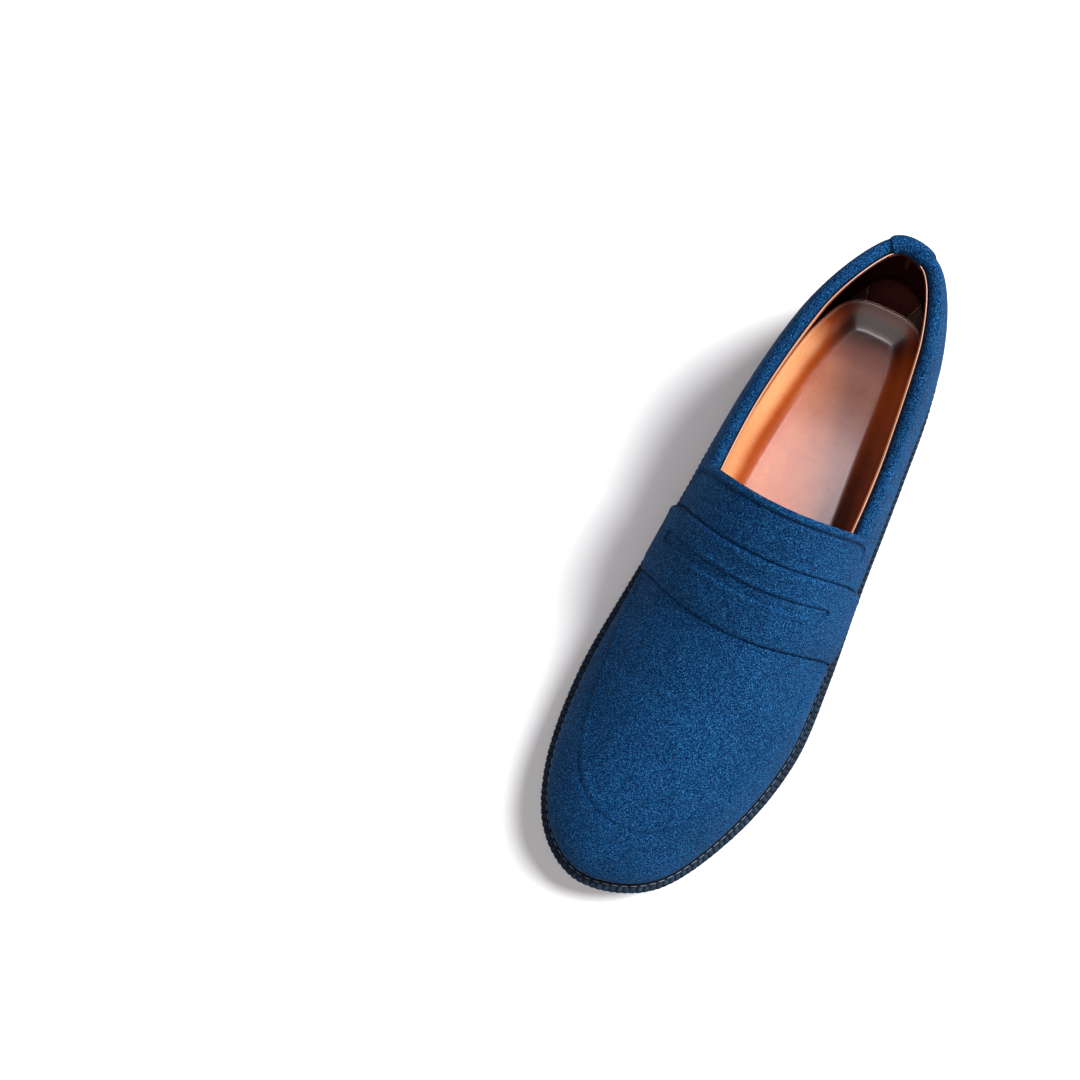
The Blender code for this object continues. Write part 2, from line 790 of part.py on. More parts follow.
def make_heel(rubber, board):
    """The stack under the seat: two lifts and a rubber top piece."""
    end = station_at(HEEL_BREAST)

    def margin(y):
        return edge_margin(y) - HEEL_TAPER

    joint = HEEL_TOP_PIECE + HEEL_LIFT
    plate("heel_top_piece", end, margin, lambda y: HEEL_TOP_PIECE, lambda y: 0.0, rubber)
    lower = plate(
        "heel_lift_lower", end, margin, lambda y: joint, lambda y: HEEL_TOP_PIECE + CLEARANCE, board
    )
    upper = plate(
        "heel_lift_upper", end, margin, above_feather(OUTSOLE_BOTTOM - CLEARANCE),
        lambda y: joint + CLEARANCE, board,
    )
    return lower, upper


def make_heel_nails(steel, drilled):
    """Nails from the insole down into the lower lift, and their holes."""
    tip = HEEL_TOP_PIECE + HEEL_LIFT / 3
    places = [(X_HEEL, y_at(NAIL_REAR))]
    places += [(X_HEEL + dx, y_at(share)) for share in NAIL_PAIRS for dx in (-NAIL_SPREAD, NAIL_SPREAD)]
    for i, (x, y) in enumerate(places, start=1):
        top = feather_z(y) + INSOLE_TOP + 2 * CLEARANCE
        nail = cylinder(f"heel_nail_{i}", NAIL_RADIUS, tip, top, x, y, steel)
        head_bottom = top - CLEARANCE
        head = cylinder(
            f"nail_head_shape_{i}", NAIL_HEAD_RADIUS, head_bottom, head_bottom + NAIL_HEAD, x, y, None, CUTTERS
        )
        cut(nail, head)
        nail.modifiers[-1].operation = "UNION"
        hole = cylinder(
            f"nail_hole_cutter_{i}", NAIL_RADIUS + CLEARANCE, tip - CLEARANCE, top + 0.01, x, y, None, CUTTERS
        )
        for piece in drilled:
            cut(piece, hole)


def main():
    suede = new_material("blue_suede", (0.012, 0.060, 0.180), 0.9)
    leather = new_material("tan_leather", (0.42, 0.13, 0.03), 0.35)
    textile = new_material("white_textile", (0.8, 0.78, 0.72), 0.9)
    board = new_material("fibre_board", (0.45, 0.33, 0.2), 0.8)
    foam = new_material("foam", (0.75, 0.7, 0.6), 0.9)
    cork = new_material("cork", (0.35, 0.2, 0.1), 0.9)
    rubber = new_material("dark_rubber", (0.01, 0.013, 0.02), 0.6)
    steel = new_material("steel", (0.6, 0.6, 0.6), 0.3, 1.0)
    thread = new_material("thread", (0.03, 0.08, 0.2), 0.8)

    make_vamp(suede)
    make_apron(suede)
    make_apron_seam(suede)
    make_quarters(suede)
    make_topline_cord(thread)
    make_tongue(suede)
    make_strap(suede)
    make_strap_backing(suede)
    make_heel_tab(suede)

    make_quarter_linings(leather)
    make_heel_lining(leather)
    make_vamp_lining(textile)
    make_tongue_lining(leather)
    make_toe_puff(board)
    make_heel_counter(board)

    insole = make_insole(board)
    cork_filler = make_shank_and_cork(steel, cork)
    make_footbed(foam, leather)
    make_welt(rubber)
    outsole = make_outsole(rubber)
    lifts = make_heel(rubber, board)
    make_heel_nails(steel, (insole, cork_filler, outsole, *lifts))


for leftover in list(bpy.data.objects):
    bpy.data.objects.remove(leftover)
SHOE = bpy.data.collections.new("penny_loafer")
CUTTERS = bpy.data.collections.new("cutters")
for collection in (SHOE, CUTTERS):
    bpy.context.scene.collection.children.link(collection)
main()
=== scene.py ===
"""Visual model of a suede penny loafer, left shoe, with one operator for each group of pieces.

Metres, +Z up, +X the medial side, +Y the toe, as in the CAD frame. Every surface of the upper follows
one last: a point has a side, a station along the shoe and a rise from the feather edge (0) to the ridge (1).
"""

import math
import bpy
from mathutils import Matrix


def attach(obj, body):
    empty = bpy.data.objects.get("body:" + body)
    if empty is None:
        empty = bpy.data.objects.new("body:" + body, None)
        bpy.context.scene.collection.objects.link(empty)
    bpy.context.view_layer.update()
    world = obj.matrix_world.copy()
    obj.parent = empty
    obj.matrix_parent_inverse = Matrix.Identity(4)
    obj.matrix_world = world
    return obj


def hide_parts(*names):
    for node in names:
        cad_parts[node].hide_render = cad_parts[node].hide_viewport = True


bl_info = {
    "name": "Penny Loafer",
    "version": (1, 0, 0),
    "blender": (4, 5, 0),
    "location": "View3D > Sidebar > Loafer",
    "description": "Builds the suede, lining, thread and rubber of a penny loafer round its CAD frame",
    "category": "Add Mesh",
}

import bmesh
import bpy
import numpy as np
from mathutils import Matrix, Vector

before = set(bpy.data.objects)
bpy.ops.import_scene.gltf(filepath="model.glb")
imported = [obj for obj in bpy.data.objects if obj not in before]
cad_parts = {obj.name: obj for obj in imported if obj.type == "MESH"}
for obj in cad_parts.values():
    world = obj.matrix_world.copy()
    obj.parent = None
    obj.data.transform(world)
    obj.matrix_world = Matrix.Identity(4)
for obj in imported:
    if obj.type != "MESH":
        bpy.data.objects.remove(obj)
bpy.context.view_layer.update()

# The last, as in the CAD part
LAST_LENGTH = 0.2885
LAST_WIDTH = 0.0895
INSTEP_HEIGHT = 0.083
HEEL_RISE = 0.021
TOE_SPRING = 0.0094
WALL_BULGE = 0.0025
BULGE_HEIGHT = 0.014
HEEL_CENTRE = -0.3466
TOE_CENTRE = 0.2288
BALL = 0.173
GIRTH_SWEEP = 0.0124
FEATHER = (
    (0.036, -0.5), (-0.165, -0.471), (-0.305, -0.370), (-0.370, -0.221), (-0.432, -0.044),
    (-0.480, 0.095), (-0.500, 0.220), (-0.410, 0.351), (-0.230, 0.459), (0.070, 0.5),
    (0.311, 0.464), (0.450, 0.375), (0.500, 0.240), (0.484, 0.101), (0.458, -0.048),
    (0.425, -0.221), (0.348, -0.363), (0.190, -0.471),
)
RIDGE = (
    (-0.52, 0.91), (-0.35, 0.96), (-0.20, 1.0), (-0.10, 1.0), (0.0, 0.87), (0.07, 0.76),
    (0.14, 0.66), (0.23, 0.56), (0.35, 0.47), (0.42, 0.41), (0.50, 0.33),
)
SECTION = ((-0.52, 3.0), (-0.2, 2.4), (0.0, 2.08), (0.23, 2.1), (0.38, 2.3), (0.52, 2.5))
TOPLINE_BACK = 0.061
TOPLINE_SIDE = 0.0465
TOPLINE_DIP = (-0.42, -0.14)

# Layers of the upper and the bottom, as in the CAD part
CLEARANCE = 0.00035
SUEDE = 0.0013
LINING = 0.001
LINING_DEPTH = 0.0032
FOLD_RADIUS = 0.0026
FOLD_LEG = 0.004
FOLDED_LINING_DEPTH = 2 * FOLD_RADIUS + CLEARANCE
APRON_HEIGHT = 0.028
APRON_DROP = 0.006
STRAP_REAR = 0.0008
STRAP_FRONT = 0.0302
VAMP_REAR = 0.008
TONGUE_REAR = -0.019
TONGUE_SIDE_OVERLAP = 0.0055
STRAP_FOOT = 0.02
SLOT_PLACE = 0.41
SLOT_END_DROP = {-1: 0.0185, 1: 0.026}
TAB_HALF_STATION = 0.16
TAB_OUTSIDE = 0.026
TAB_INSIDE = 0.009
HEEL_LINING_STATION = 0.22
WELT_MARGIN = 0.0058
WAIST_MARGIN = 0.0045
HEEL_MARGIN = 0.0028
CHANNEL = 0.47
TOE_CRAMP = 0.005
FOOTBED_INSET = 0.0068
FOOTBED_SHORTFALL = 0.015
WELT_TOP = -CLEARANCE
WELT_BOTTOM = WELT_TOP - 0.003
OUTSOLE_TOP = WELT_BOTTOM - CLEARANCE
OUTSOLE_BOTTOM = OUTSOLE_TOP - 0.0055
INSOLE_TOP = 0.00705
SOCK_TOP = 0.01325
RAW_EDGE = 0.0002
SOCK = 0.0012
FOOTBED = 0.0024
SOCK_ARC = 0.04
DISH = 0.005
HEEL_BREAST = -0.072
HEEL_TAPER = 0.0005
HEEL_TOP_PIECE = 0.0067
HEEL_LIFT = 0.0065
GROOVE_WIDTH = 0.003
GROOVE_DEPTH = 0.0014
GROOVE_COUNT = 9
GROOVE_SPAN = (0.015, 0.125)
LATERAL, MEDIAL = -1, 1

# What the visual model adds to the upper: lines beside the strap, and how far layers stand out from the last
FRONT_LINE = STRAP_FRONT + 0.0003
REAR_LINE = STRAP_REAR - 0.0003
LINE_DEPTH = 0.0011
TUCK = 0.003
STRAP_LIFT = 0.00235
TAB_LIFT = 0.0009
TONGUE_LIFT = SUEDE + CLEARANCE
CORNER_RADIUS = 0.0065
CORNER_START = 0.86

# Inside the shoe and along the welt
# Where the quarter linings are painted darker towards the heel, as painted shade inside the heel
HEEL_PAINTED_SHADE = (-0.125, -0.085)
ZIGZAG_STITCHES = 22
ZIGZAG_STATION = 0.022
ZIGZAG_END = 0.016
BED_EDGE = 0.0088
BED_DEPTH = 0.0018
BED_DROP = 0.0009
DISH_WIDTH = 0.0125
WELT_CROWN = WELT_TOP + 0.0003
WELT_INSIDE = -0.006
CHANNEL_FLOOR = WELT_CROWN - 0.0012

# Camera and light: each light's name, place, aim, diameter, watts and colour
CAMERA_PLACE = (-0.0241, 0.0842, 0.6004)
CAMERA_TURN = (0.1775, 0.1271, 3.6366)
CAMERA_LENS = 44.9
CAMERA_SENSOR = 36
FLOOR_SIZE = 2.4
WORLD_LIGHT = 0.08
WORLD_SEEN = 0.9
LIGHTS = (
    ("key", (-0.9, -0.85, 1.5), (0, 0, 0.03), 0.8, 66, "FFFFFF"),
    ("fill", (0.1, 0.7, 1.4), (0, 0, 0), 1.4, 6, "FFFFFF"),
    ("glint", (0.06, 0.14, 1.6), (0, -0.06, 0), 0.28, 3.8, "FFF2FA"),
)


# ---------------------------------------------------------------- settings


class LoaferSizes(bpy.types.PropertyGroup):
    """Sizes of the details that the CAD part leaves to the visual model."""

    ridge_height: bpy.props.FloatProperty(
        name="Apron ridge height", description="How far the apron's seam stands up",
        default=0.0009, unit="LENGTH", precision=5,
    )
    slot_width: bpy.props.FloatProperty(
        name="Slot width", description="Width of the slot in the strap",
        default=0.0040, unit="LENGTH", precision=5,
    )
    hem_distance: bpy.props.FloatProperty(
        name="Hem distance", description="From the tongue's edge to its row of stitches",
        default=0.0032, unit="LENGTH", precision=5,
    )
    hem_pitch: bpy.props.FloatProperty(
        name="Hem stitch", description="Length of one stitch of the tongue's hem",
        default=0.0028, unit="LENGTH", precision=5,
    )
    rib_pitch: bpy.props.FloatProperty(
        name="Welt rib spacing", description="Distance from one rib of the welt to the next",
        default=0.0027, unit="LENGTH", precision=5,
    )
    rib_height: bpy.props.FloatProperty(
        name="Welt rib height", description="How far a rib stands above the notch beside it",
        default=0.0008, unit="LENGTH", precision=5,
    )


class LoaferColours(bpy.types.PropertyGroup):
    """Colours of the materials, as sRGB hex values."""

    suede: bpy.props.StringProperty(name="Suede", description="Middle colour of the suede", default="053E76")
    suede_light: bpy.props.StringProperty(name="Suede nap", description="Raised fibres", default="3F8FCC")
    suede_dark: bpy.props.StringProperty(
        name="Suede shade", description="Between the fibres", default="02173A"
    )
    lining: bpy.props.StringProperty(name="Lining", description="Tan lining leather", default="BE7C50")
    # The heel grip's dark brown is partly painted shade inside the heel
    heel_lining: bpy.props.StringProperty(name="Heel lining", description="Brown heel grip", default="3A1208")
    sock: bpy.props.StringProperty(name="Sock", description="Polished sock leather", default="9C430F")
    raw_edge: bpy.props.StringProperty(name="Raw edge", description="Cut edge of leather", default="DDAE9C")
    welt: bpy.props.StringProperty(name="Welt", description="Navy rubber", default="0A1B2E")
    sole: bpy.props.StringProperty(name="Sole", description="Black rubber", default="0B0D11")
    thread: bpy.props.StringProperty(name="Upper thread", description="Thread in the suede", default="0A2A52")
    pale_thread: bpy.props.StringProperty(
        name="Welt thread", description="Thread in the welt", default="7F8C98"
    )


def sizes():
    return bpy.context.scene.loafer_sizes


def colours():
    return bpy.context.scene.loafer_colours


# ---------------------------------------------------------------- the last


def ramp(x, low, high):
    """0 below low, 1 above high and a smooth step between."""
    share = np.clip((x - low) / (high - low), 0, 1)
    return share * share * (3 - 2 * share)


def hump(distance, width):
    """1 where the distance is 0, and next to nothing from twice the width."""
    return np.exp(-((distance / width) ** 2))


def profile(points):
    """A smooth function through the points."""
    xs, ys = np.array(points).T
    slopes = np.gradient(ys, xs)

    def value(x):
        x = np.clip(x, xs[0], xs[-1])
        i = np.minimum(np.searchsorted(xs, x, side="right") - 1, len(xs) - 2)
        width = xs[i + 1] - xs[i]
        t = (x - xs[i]) / width
        step = t * t * (3 - 2 * t) * (ys[i + 1] - ys[i])
        return ys[i] + step + width * t * (1 - t) * ((1 - t) * slopes[i] - t * slopes[i + 1])

    return value


def closed_curve(points, steps):
    """Points on a smooth closed curve through the given ones."""
    here = np.array(points)
    before, after, second = (np.roll(here, shift, 0) for shift in (1, -1, -2))
    t = np.linspace(0, 1, steps, endpoint=False)[:, None, None]
    curve = here + t / 2 * (after - before)
    curve = curve + t**2 / 2 * (2 * before - 5 * here + 4 * after - second)
    curve = curve + t**3 / 2 * (3 * here - before - 3 * after + second)
    return curve.transpose(1, 0, 2).reshape(-1, 2)


def y_at(share):
    return share * LAST_LENGTH - (WELT_MARGIN - HEEL_MARGIN) / 2


def share_at(y):
    return (y - y_at(0)) / LAST_LENGTH


SPAN_STEPS = 64
TOE_POINT = 9
OUTLINE = closed_curve(FEATHER, SPAN_STEPS) * (LAST_WIDTH, LAST_LENGTH) + (0, y_at(0))
LATERAL_EDGE = OUTLINE[: TOE_POINT * SPAN_STEPS + 1]
MEDIAL_EDGE = OUTLINE[TOE_POINT * SPAN_STEPS :][::-1]
Y_HEEL = y_at(HEEL_CENTRE)
Y_TOE = y_at(TOE_CENTRE)
X_HEEL = FEATHER[0][0] * LAST_WIDTH * 0.7
ridge_share = profile(RIDGE)
section_exponent = profile(SECTION)


def polar(centre, toward):
    """Angles and lengths from a centre to the feather edge on one side of it, +1 toe or -1 heel."""
    spoke = OUTLINE - centre
    spoke = spoke[spoke[:, 1] * toward > -0.002]
    angle = np.arctan2(spoke[:, 0], spoke[:, 1] * toward)
    order = np.argsort(angle)
    return angle[order], np.linalg.norm(spoke, axis=1)[order]


HEEL_FAN = polar((X_HEEL, Y_HEEL), -1)
TOE_FAN = polar((0.0, Y_TOE), 1)


def reach(centre, side, station):
    """Distance from each centre to the feather edge, along its ray."""
    x, y = centre.T
    across = np.where(
        side < 0, x - np.interp(y, *LATERAL_EDGE.T[::-1]), np.interp(y, *MEDIAL_EDGE.T[::-1]) - x
    )
    heel = np.interp(side * math.pi / 2 * station, *HEEL_FAN)
    toe = np.interp(side * math.pi / 2 * (3 - station), *TOE_FAN)
    return np.where(station < 1, heel, np.where(station > 2, toe, across))


def feather_z(y):
    """Height of the feather plane above the ground."""
    heel = HEEL_RISE * ramp(y_at(BALL) - y, 0, 0.6 * LAST_LENGTH)
    toe = TOE_SPRING * np.maximum((share_at(y) - 0.212) / 0.31, 0) ** 2
    return heel + toe - OUTSOLE_BOTTOM


def station_at(y):
    return 1 + (y - Y_HEEL) / (Y_TOE - Y_HEEL)


def ray(side, station, rise=1.0):
    """Centre, direction and length of the lines from the middle of the shoe to the feather edge."""
    side, station, rise = (np.ravel(a).astype(float) for a in np.broadcast_arrays(side, station, rise))
    middle = Y_HEEL + (Y_TOE - Y_HEEL) * (station - 1)
    window = ramp(middle, Y_HEEL, TONGUE_REAR) * (1 - ramp(middle, STRAP_FRONT, Y_TOE))
    y = middle - GIRTH_SWEEP * window * np.cos(math.pi / 2 * rise) ** 2
    x = X_HEEL * (1 - (y - Y_HEEL) / (Y_TOE - Y_HEEL))
    heel, toe = math.pi / 2 * station, math.pi / 2 * (station - 2)
    at_heel, at_toe = (station < 1)[:, None], (station > 2)[:, None]
    centre = np.stack([x, y], 1)
    centre = np.where(at_heel, (X_HEEL, Y_HEEL), np.where(at_toe, (0.0, Y_TOE), centre))
    direction = np.stack([side, np.zeros_like(side)], 1)
    direction = np.where(at_heel, np.stack([side * np.sin(heel), -np.cos(heel)], 1), direction)
    direction = np.where(at_toe, np.stack([side * np.cos(toe), np.sin(toe)], 1), direction)
    return centre, direction, reach(centre, side, station)


def last_point(side, station, rise):
    side, station, rise = np.broadcast_arrays(side, station, rise)
    centre, direction, length = ray(side, station, rise)
    flat = rise.ravel().astype(float)
    power = 2 / section_exponent(share_at(centre[:, 1] + 0.7 * direction[:, 1] * length))
    spread = np.where(flat < 1, np.maximum(np.cos(math.pi / 2 * flat), 1e-9) ** power, 0)
    ridge = INSTEP_HEIGHT * ridge_share(share_at(centre[:, 1] + direction[:, 1] * length * spread))
    height = ridge * np.maximum(np.sin(math.pi / 2 * flat), 0) ** power
    bulge = WALL_BULGE * spread * height / BULGE_HEIGHT * np.exp(1 - height / BULGE_HEIGHT)
    place = centre + direction * (length * spread + bulge)[:, None]
    return np.column_stack([place, feather_z(place[:, 1]) + height]).reshape(*rise.shape, 3)


def rise_at(side, station, height):
    """Rise at which the last is this high above its feather plane."""
    side, station, height = np.broadcast_arrays(side, station, height)
    low, high = np.zeros(height.shape), np.ones(height.shape)
    for _ in range(20):
        middle = (low + high) / 2
        point = last_point(side, station, middle)
        below = point[..., 2] - feather_z(point[..., 1]) < height
        low, high = np.where(below, middle, low), np.where(below, high, middle)
    return (low + high) / 2


def unit(vectors):
    return vectors / np.maximum(np.linalg.norm(vectors, axis=-1, keepdims=True), 1e-12)


def axes(side, station, rise):
    """The outward normals and the directions up the last."""
    side, station, rise = np.broadcast_arrays(side, station, rise)
    step = 0.004
    low, high = np.clip(rise - step, 0.001, 0.988), np.minimum(rise + step, 0.996)
    up = last_point(side, station, high) - last_point(side, station, low)
    inside = np.minimum(rise, 0.99)
    after, before = np.minimum(station + step, 3), np.maximum(station - step, 0)
    along = last_point(side, after, inside) - last_point(side, before, inside)
    normal = np.cross(along, up) * side[..., None]
    normal[..., 0] = np.where(rise > 0.99, 0, normal[..., 0])
    return unit(normal), unit(up)


def skin(side, station, rise, depth):
    """Points at a depth below the last's surface."""
    normal, _ = axes(side, station, rise)
    return last_point(side, station, rise) - np.asarray(depth)[..., None] * normal


def topline_height(side, station):
    centre, direction, length = ray(side, station)
    low, high = (y_at(share) for share in TOPLINE_DIP)
    y = (centre + 0.8 * direction * length[:, None])[:, 1].reshape(np.broadcast(side, station).shape)
    return TOPLINE_BACK - (TOPLINE_BACK - TOPLINE_SIDE) * ramp(y, low, high)


def topline_rise(side, station, drop=0.0):
    return rise_at(side, station, topline_height(side, station) - drop)


def apron_rise(side, station):
    """Rise of the seam between vamp and apron."""
    y = ray(side, station)[0][:, 1]
    return rise_at(side, station, APRON_HEIGHT - APRON_DROP * (1 - ramp(y, STRAP_FRONT, Y_TOE)))


def pace(side, station, rise):
    """Metres of surface for one unit of rise."""
    step = last_point(side, station, rise + 0.01) - last_point(side, station, rise)
    return np.linalg.norm(step, axis=-1) / 0.01


def edge_margin(y):
    """How far the welt stands out from the feather edge."""
    waist = (WAIST_MARGIN - HEEL_MARGIN) * ramp(y, y_at(-0.5), y_at(-0.25))
    return HEEL_MARGIN + waist + (WELT_MARGIN - WAIST_MARGIN) * ramp(y, y_at(-0.1), y_at(0.15))


def fold(side, station, rise, depth, radius, leg, steps=10):
    """Rows of a turn over the top edge: a half circle inwards, then a leg down the inside."""
    normal, up = axes(side, station, rise)
    centre = last_point(side, station, rise) - (depth + radius) * normal
    angles = math.pi * np.arange(1, steps + 1) / steps
    arc = [centre + radius * (math.cos(a) * normal + math.sin(a) * up) for a in angles]
    legs = [arc[-1] - leg * share * up for share in (0.33, 0.66, 1.0)]
    return np.stack(arc + legs, 1)


def tucked(side, station, inward, height):
    """One row under the feather edge, inside it by a distance."""
    centre, direction, length = ray(side, station, 0.0)
    place = centre + direction * (length - inward)[:, None]
    return np.column_stack([place, feather_z(place[:, 1]) + height])[:, None]


def both_sides(station):
    """Sides and stations that go up the lateral side and come back down the medial side."""
    side = np.concatenate([np.full(len(station), LATERAL), np.full(len(station) - 1, MEDIAL)])
    return side, np.concatenate([station, station[-2::-1]])


def around_toe():
    """Sides and stations of the vamp and the apron, closer together beside the strap."""
    return both_sides(beside(np.linspace(station_at(VAMP_REAR), 3, 90), FRONT_LINE))


def beside(station, edge):
    """The stations with more of them within 2 mm of an edge of the strap."""
    return np.unique(np.concatenate([station, station_at(edge + np.linspace(-0.002, 0.002, 13))]).round(9))


def pressed(station, edge):
    """Depth of the line that an edge of the strap presses into the suede under it."""
    return LINE_DEPTH * hump((station - station_at(edge)) * (Y_TOE - Y_HEEL), 0.0006)


def round_heel(end, count):
    """Sides and stations from the lateral side round the heel to the medial side."""
    sweep = np.linspace(-1, 1, count)
    return np.where(sweep < 0, LATERAL, MEDIAL), end * np.abs(sweep)


def evenly_around(count):
    """Sides and stations evenly spaced along the feather edge, once round from the heel."""
    sweep = np.linspace(0, 6, 1441)
    side = np.where(sweep <= 3, LATERAL, MEDIAL)
    station = np.where(sweep <= 3, sweep, 6 - sweep)
    centre, direction, length = ray(side, station, 0.0)
    edge = centre + direction * length[:, None]
    run = path_length(edge)
    even = np.interp(np.linspace(0, run[-1], count + 1), run, sweep)
    return np.where(even <= 3, LATERAL, MEDIAL), np.where(even <= 3, even, 6 - even), run[-1]


def path_length(points):
    """Distance along a path to each of its points."""
    return np.concatenate([[0], np.cumsum(np.linalg.norm(np.diff(points, axis=0), axis=1))])


def whole_loop():
    """Matching sides and stations once round from the heel, for plates that close along the shoe's middle."""
    heel, middle, toe = np.linspace(0, 1, 40), np.linspace(1, 2, 90)[1:], np.linspace(2, 3, 44)[1:]
    return both_sides(np.concatenate([heel, middle, toe]))


# ---------------------------------------------------------------- materials


def linear(value):
    """Linear colour from an sRGB hex value."""
    parts = [int(value[i : i + 2], 16) / 255 for i in (0, 2, 4)]
    return [p / 12.92 if p <= 0.04045 else ((p + 0.055) / 1.055) ** 2.4 for p in parts] + [1.0]


def add_node(tree, kind, settings=None, **links):
    """A node with its settings, which are attributes, inputs by name or number, or a ramp's steps of colour.

    A link is input=(node, output), and an input with a number is written i6.
    """
    node = tree.nodes.new(kind)
    for key, value in (settings or {}).items():
        if key == "steps":
            elements = node.color_ramp.elements
            elements[0].position, elements[0].color = value[0][0], linear(value[0][1])
            elements[1].position, elements[1].color = value[-1][0], linear(value[-1][1])
            for position, colour in value[1:-1]:
                elements.new(position).color = linear(colour)
        elif isinstance(key, int) or key in node.inputs:
            node.inputs[key].default_value = value
        else:
            setattr(node, key, value)
    for key, (source, output) in links.items():
        socket = node.inputs[int(key[1:])] if key[1:].isdigit() else node.inputs[key.replace("_", " ")]
        tree.links.new(source.outputs[output], socket)
    return node


def new_material(name, colour, roughness, **sockets):
    """A material with a Principled shader, whose sockets are set directly, and its object coordinates."""
    material = bpy.data.materials.new(name)
    material.use_nodes = True
    tree = material.node_tree
    shader = tree.nodes["Principled BSDF"]
    shader.inputs["Base Color"].default_value = linear(colour)
    shader.inputs["Roughness"].default_value = roughness
    for key, value in sockets.items():
        shader.inputs[key.replace("_", " ")].default_value = value
    return material, tree, shader, (add_node(tree, "ShaderNodeTexCoord"), "Object")


def finish(tree, shader, height, strength, distance, colour=None):
    """Links the surface relief, and the colour if there is one, to the shader."""
    relief = add_node(tree, "ShaderNodeBump", {"Strength": strength, "Distance": distance}, Height=height)
    tree.links.new(relief.outputs["Normal"], shader.inputs["Normal"])
    if colour:
        tree.links.new(colour[0].outputs[colour[1]], shader.inputs["Base Color"])


def suede_material(name):
    """Split calf buffed to a short nap: matt, with pale fibre tips over a darker ground and a faint sheen."""
    c = colours()
    material, tree, shader, place = new_material(
        name, c.suede, 0.95, Sheen_Weight=0.02, Sheen_Roughness=0.4, Sheen_Tint=linear(c.suede_light),
        Specular_IOR_Level=0.06,
    )
    # Tufts of nap are about 0.5 mm across, and single fibres about 0.3 mm
    tufts = add_node(
        tree, "ShaderNodeTexNoise", {"Scale": 1850.0, "Detail": 4.0, "Roughness": 0.85, "Distortion": 0.3},
        Vector=place,
    )
    fibres = add_node(
        tree, "ShaderNodeTexNoise", {"Scale": 2900.0, "Detail": 2.0, "Roughness": 0.7}, Vector=place
    )
    # Strokes of the hand leave patches about 30 mm across
    strokes = add_node(
        tree, "ShaderNodeTexNoise", {"Scale": 30.0, "Detail": 3.0, "Roughness": 0.55, "Distortion": 0.6},
        Vector=place,
    )
    ground = add_node(
        tree, "ShaderNodeValToRGB",
        {"steps": ((0.42, c.suede_dark), (0.49, c.suede), (0.53, c.suede), (0.59, c.suede_light))},
        Fac=(tufts, "Fac"),
    )
    tips = add_node(
        tree, "ShaderNodeValToRGB", {"steps": ((0.40, "6E6E6E"), (0.50, "B4B4B4"), (0.60, "FFFFFF"))},
        Fac=(fibres, "Fac"),
    )
    patches = add_node(
        tree, "ShaderNodeValToRGB", {"steps": ((0.35, "DCDCDC"), (0.65, "FFFFFF"))}, Fac=(strokes, "Fac")
    )
    multiply = {"data_type": "RGBA", "blend_type": "MULTIPLY", 0: 0.75}
    napped = add_node(tree, "ShaderNodeMix", multiply, i6=(ground, "Color"), i7=(tips, "Color"))
    stroked = add_node(tree, "ShaderNodeMix", multiply, i6=(napped, 2), i7=(patches, "Color"))
    finish(tree, shader, (tufts, "Fac"), 0.7, 0.0005, (stroked, 2))
    return material


def leather_material(name, tones, roughness, coat, grain=1300.0, creasing=0.3):
    """Smooth calf with pores and cloudy dyeing, in three tones that follow the clouds and the painted shade
    that a piece's mesh carries.
    """
    light, middle, dark = tones
    material, tree, shader, place = new_material(
        name, middle, roughness, Coat_Weight=coat, Coat_Roughness=0.2, Specular_IOR_Level=0.15 + coat
    )
    pores = add_node(tree, "ShaderNodeTexVoronoi", {"Scale": grain, "Randomness": 0.9}, Vector=place)
    creases = add_node(
        tree, "ShaderNodeTexNoise", {"Scale": grain * 1.7, "Detail": 3.0, "Roughness": 0.6}, Vector=place
    )
    clouds = add_node(
        tree, "ShaderNodeTexNoise", {"Scale": 45.0, "Detail": 4.0, "Roughness": 0.6}, Vector=place
    )
    # Painted shade and tone carried by the piece's mesh darken the calf
    burnish = add_node(tree, "ShaderNodeAttribute", {"attribute_name": "burnish"})
    depth = add_node(
        tree, "ShaderNodeMath", {"operation": "MULTIPLY_ADD", 1: 0.3}, i0=(clouds, "Fac"), i2=(burnish, "Fac")
    )
    dye_and_painted_shade = add_node(
        tree, "ShaderNodeValToRGB", {"steps": ((0.12, light), (0.55, middle), (1.0, dark))}, Fac=(depth, 0)
    )
    dots = add_node(
        tree, "ShaderNodeValToRGB", {"steps": ((0.0, "C8C8C8"), (0.5, "FFFFFF"))}, Fac=(pores, "Distance")
    )
    pitted = add_node(
        tree, "ShaderNodeMix", {"data_type": "RGBA", "blend_type": "MULTIPLY", 0: 0.5},
        i6=(dye_and_painted_shade, "Color"), i7=(dots, "Color"),
    )
    finish(tree, shader, (creases, "Fac"), creasing, 0.0002, (pitted, 2))
    return material


def rubber_material(name, colour, rubbed, roughness):
    """Moulded rubber with a satin skin, rubbed paler in patches, and painted near black as shade where the
    mesh asks for it.
    """
    material, tree, shader, place = new_material(name, colour, roughness, Specular_IOR_Level=0.14)
    rubs = add_node(
        tree, "ShaderNodeTexNoise", {"Scale": 420.0, "Detail": 4.0, "Roughness": 0.7}, Vector=place
    )
    shade = add_node(
        tree, "ShaderNodeValToRGB", {"steps": ((0.42, colour), (0.72, rubbed))}, Fac=(rubs, "Fac")
    )
    painted_recess_shade = add_node(tree, "ShaderNodeAttribute", {"attribute_name": "burnish"})
    # Painted shade: near black where the mesh carries shade
    painted_shade_mix = add_node(
        tree, "ShaderNodeMix", {"data_type": "RGBA", 7: linear("03060A")},
        i0=(painted_recess_shade, "Fac"), i6=(shade, "Color"),
    )
    finish(tree, shader, (rubs, "Fac"), 0.3, 0.0002, (painted_shade_mix, 2))
    return material


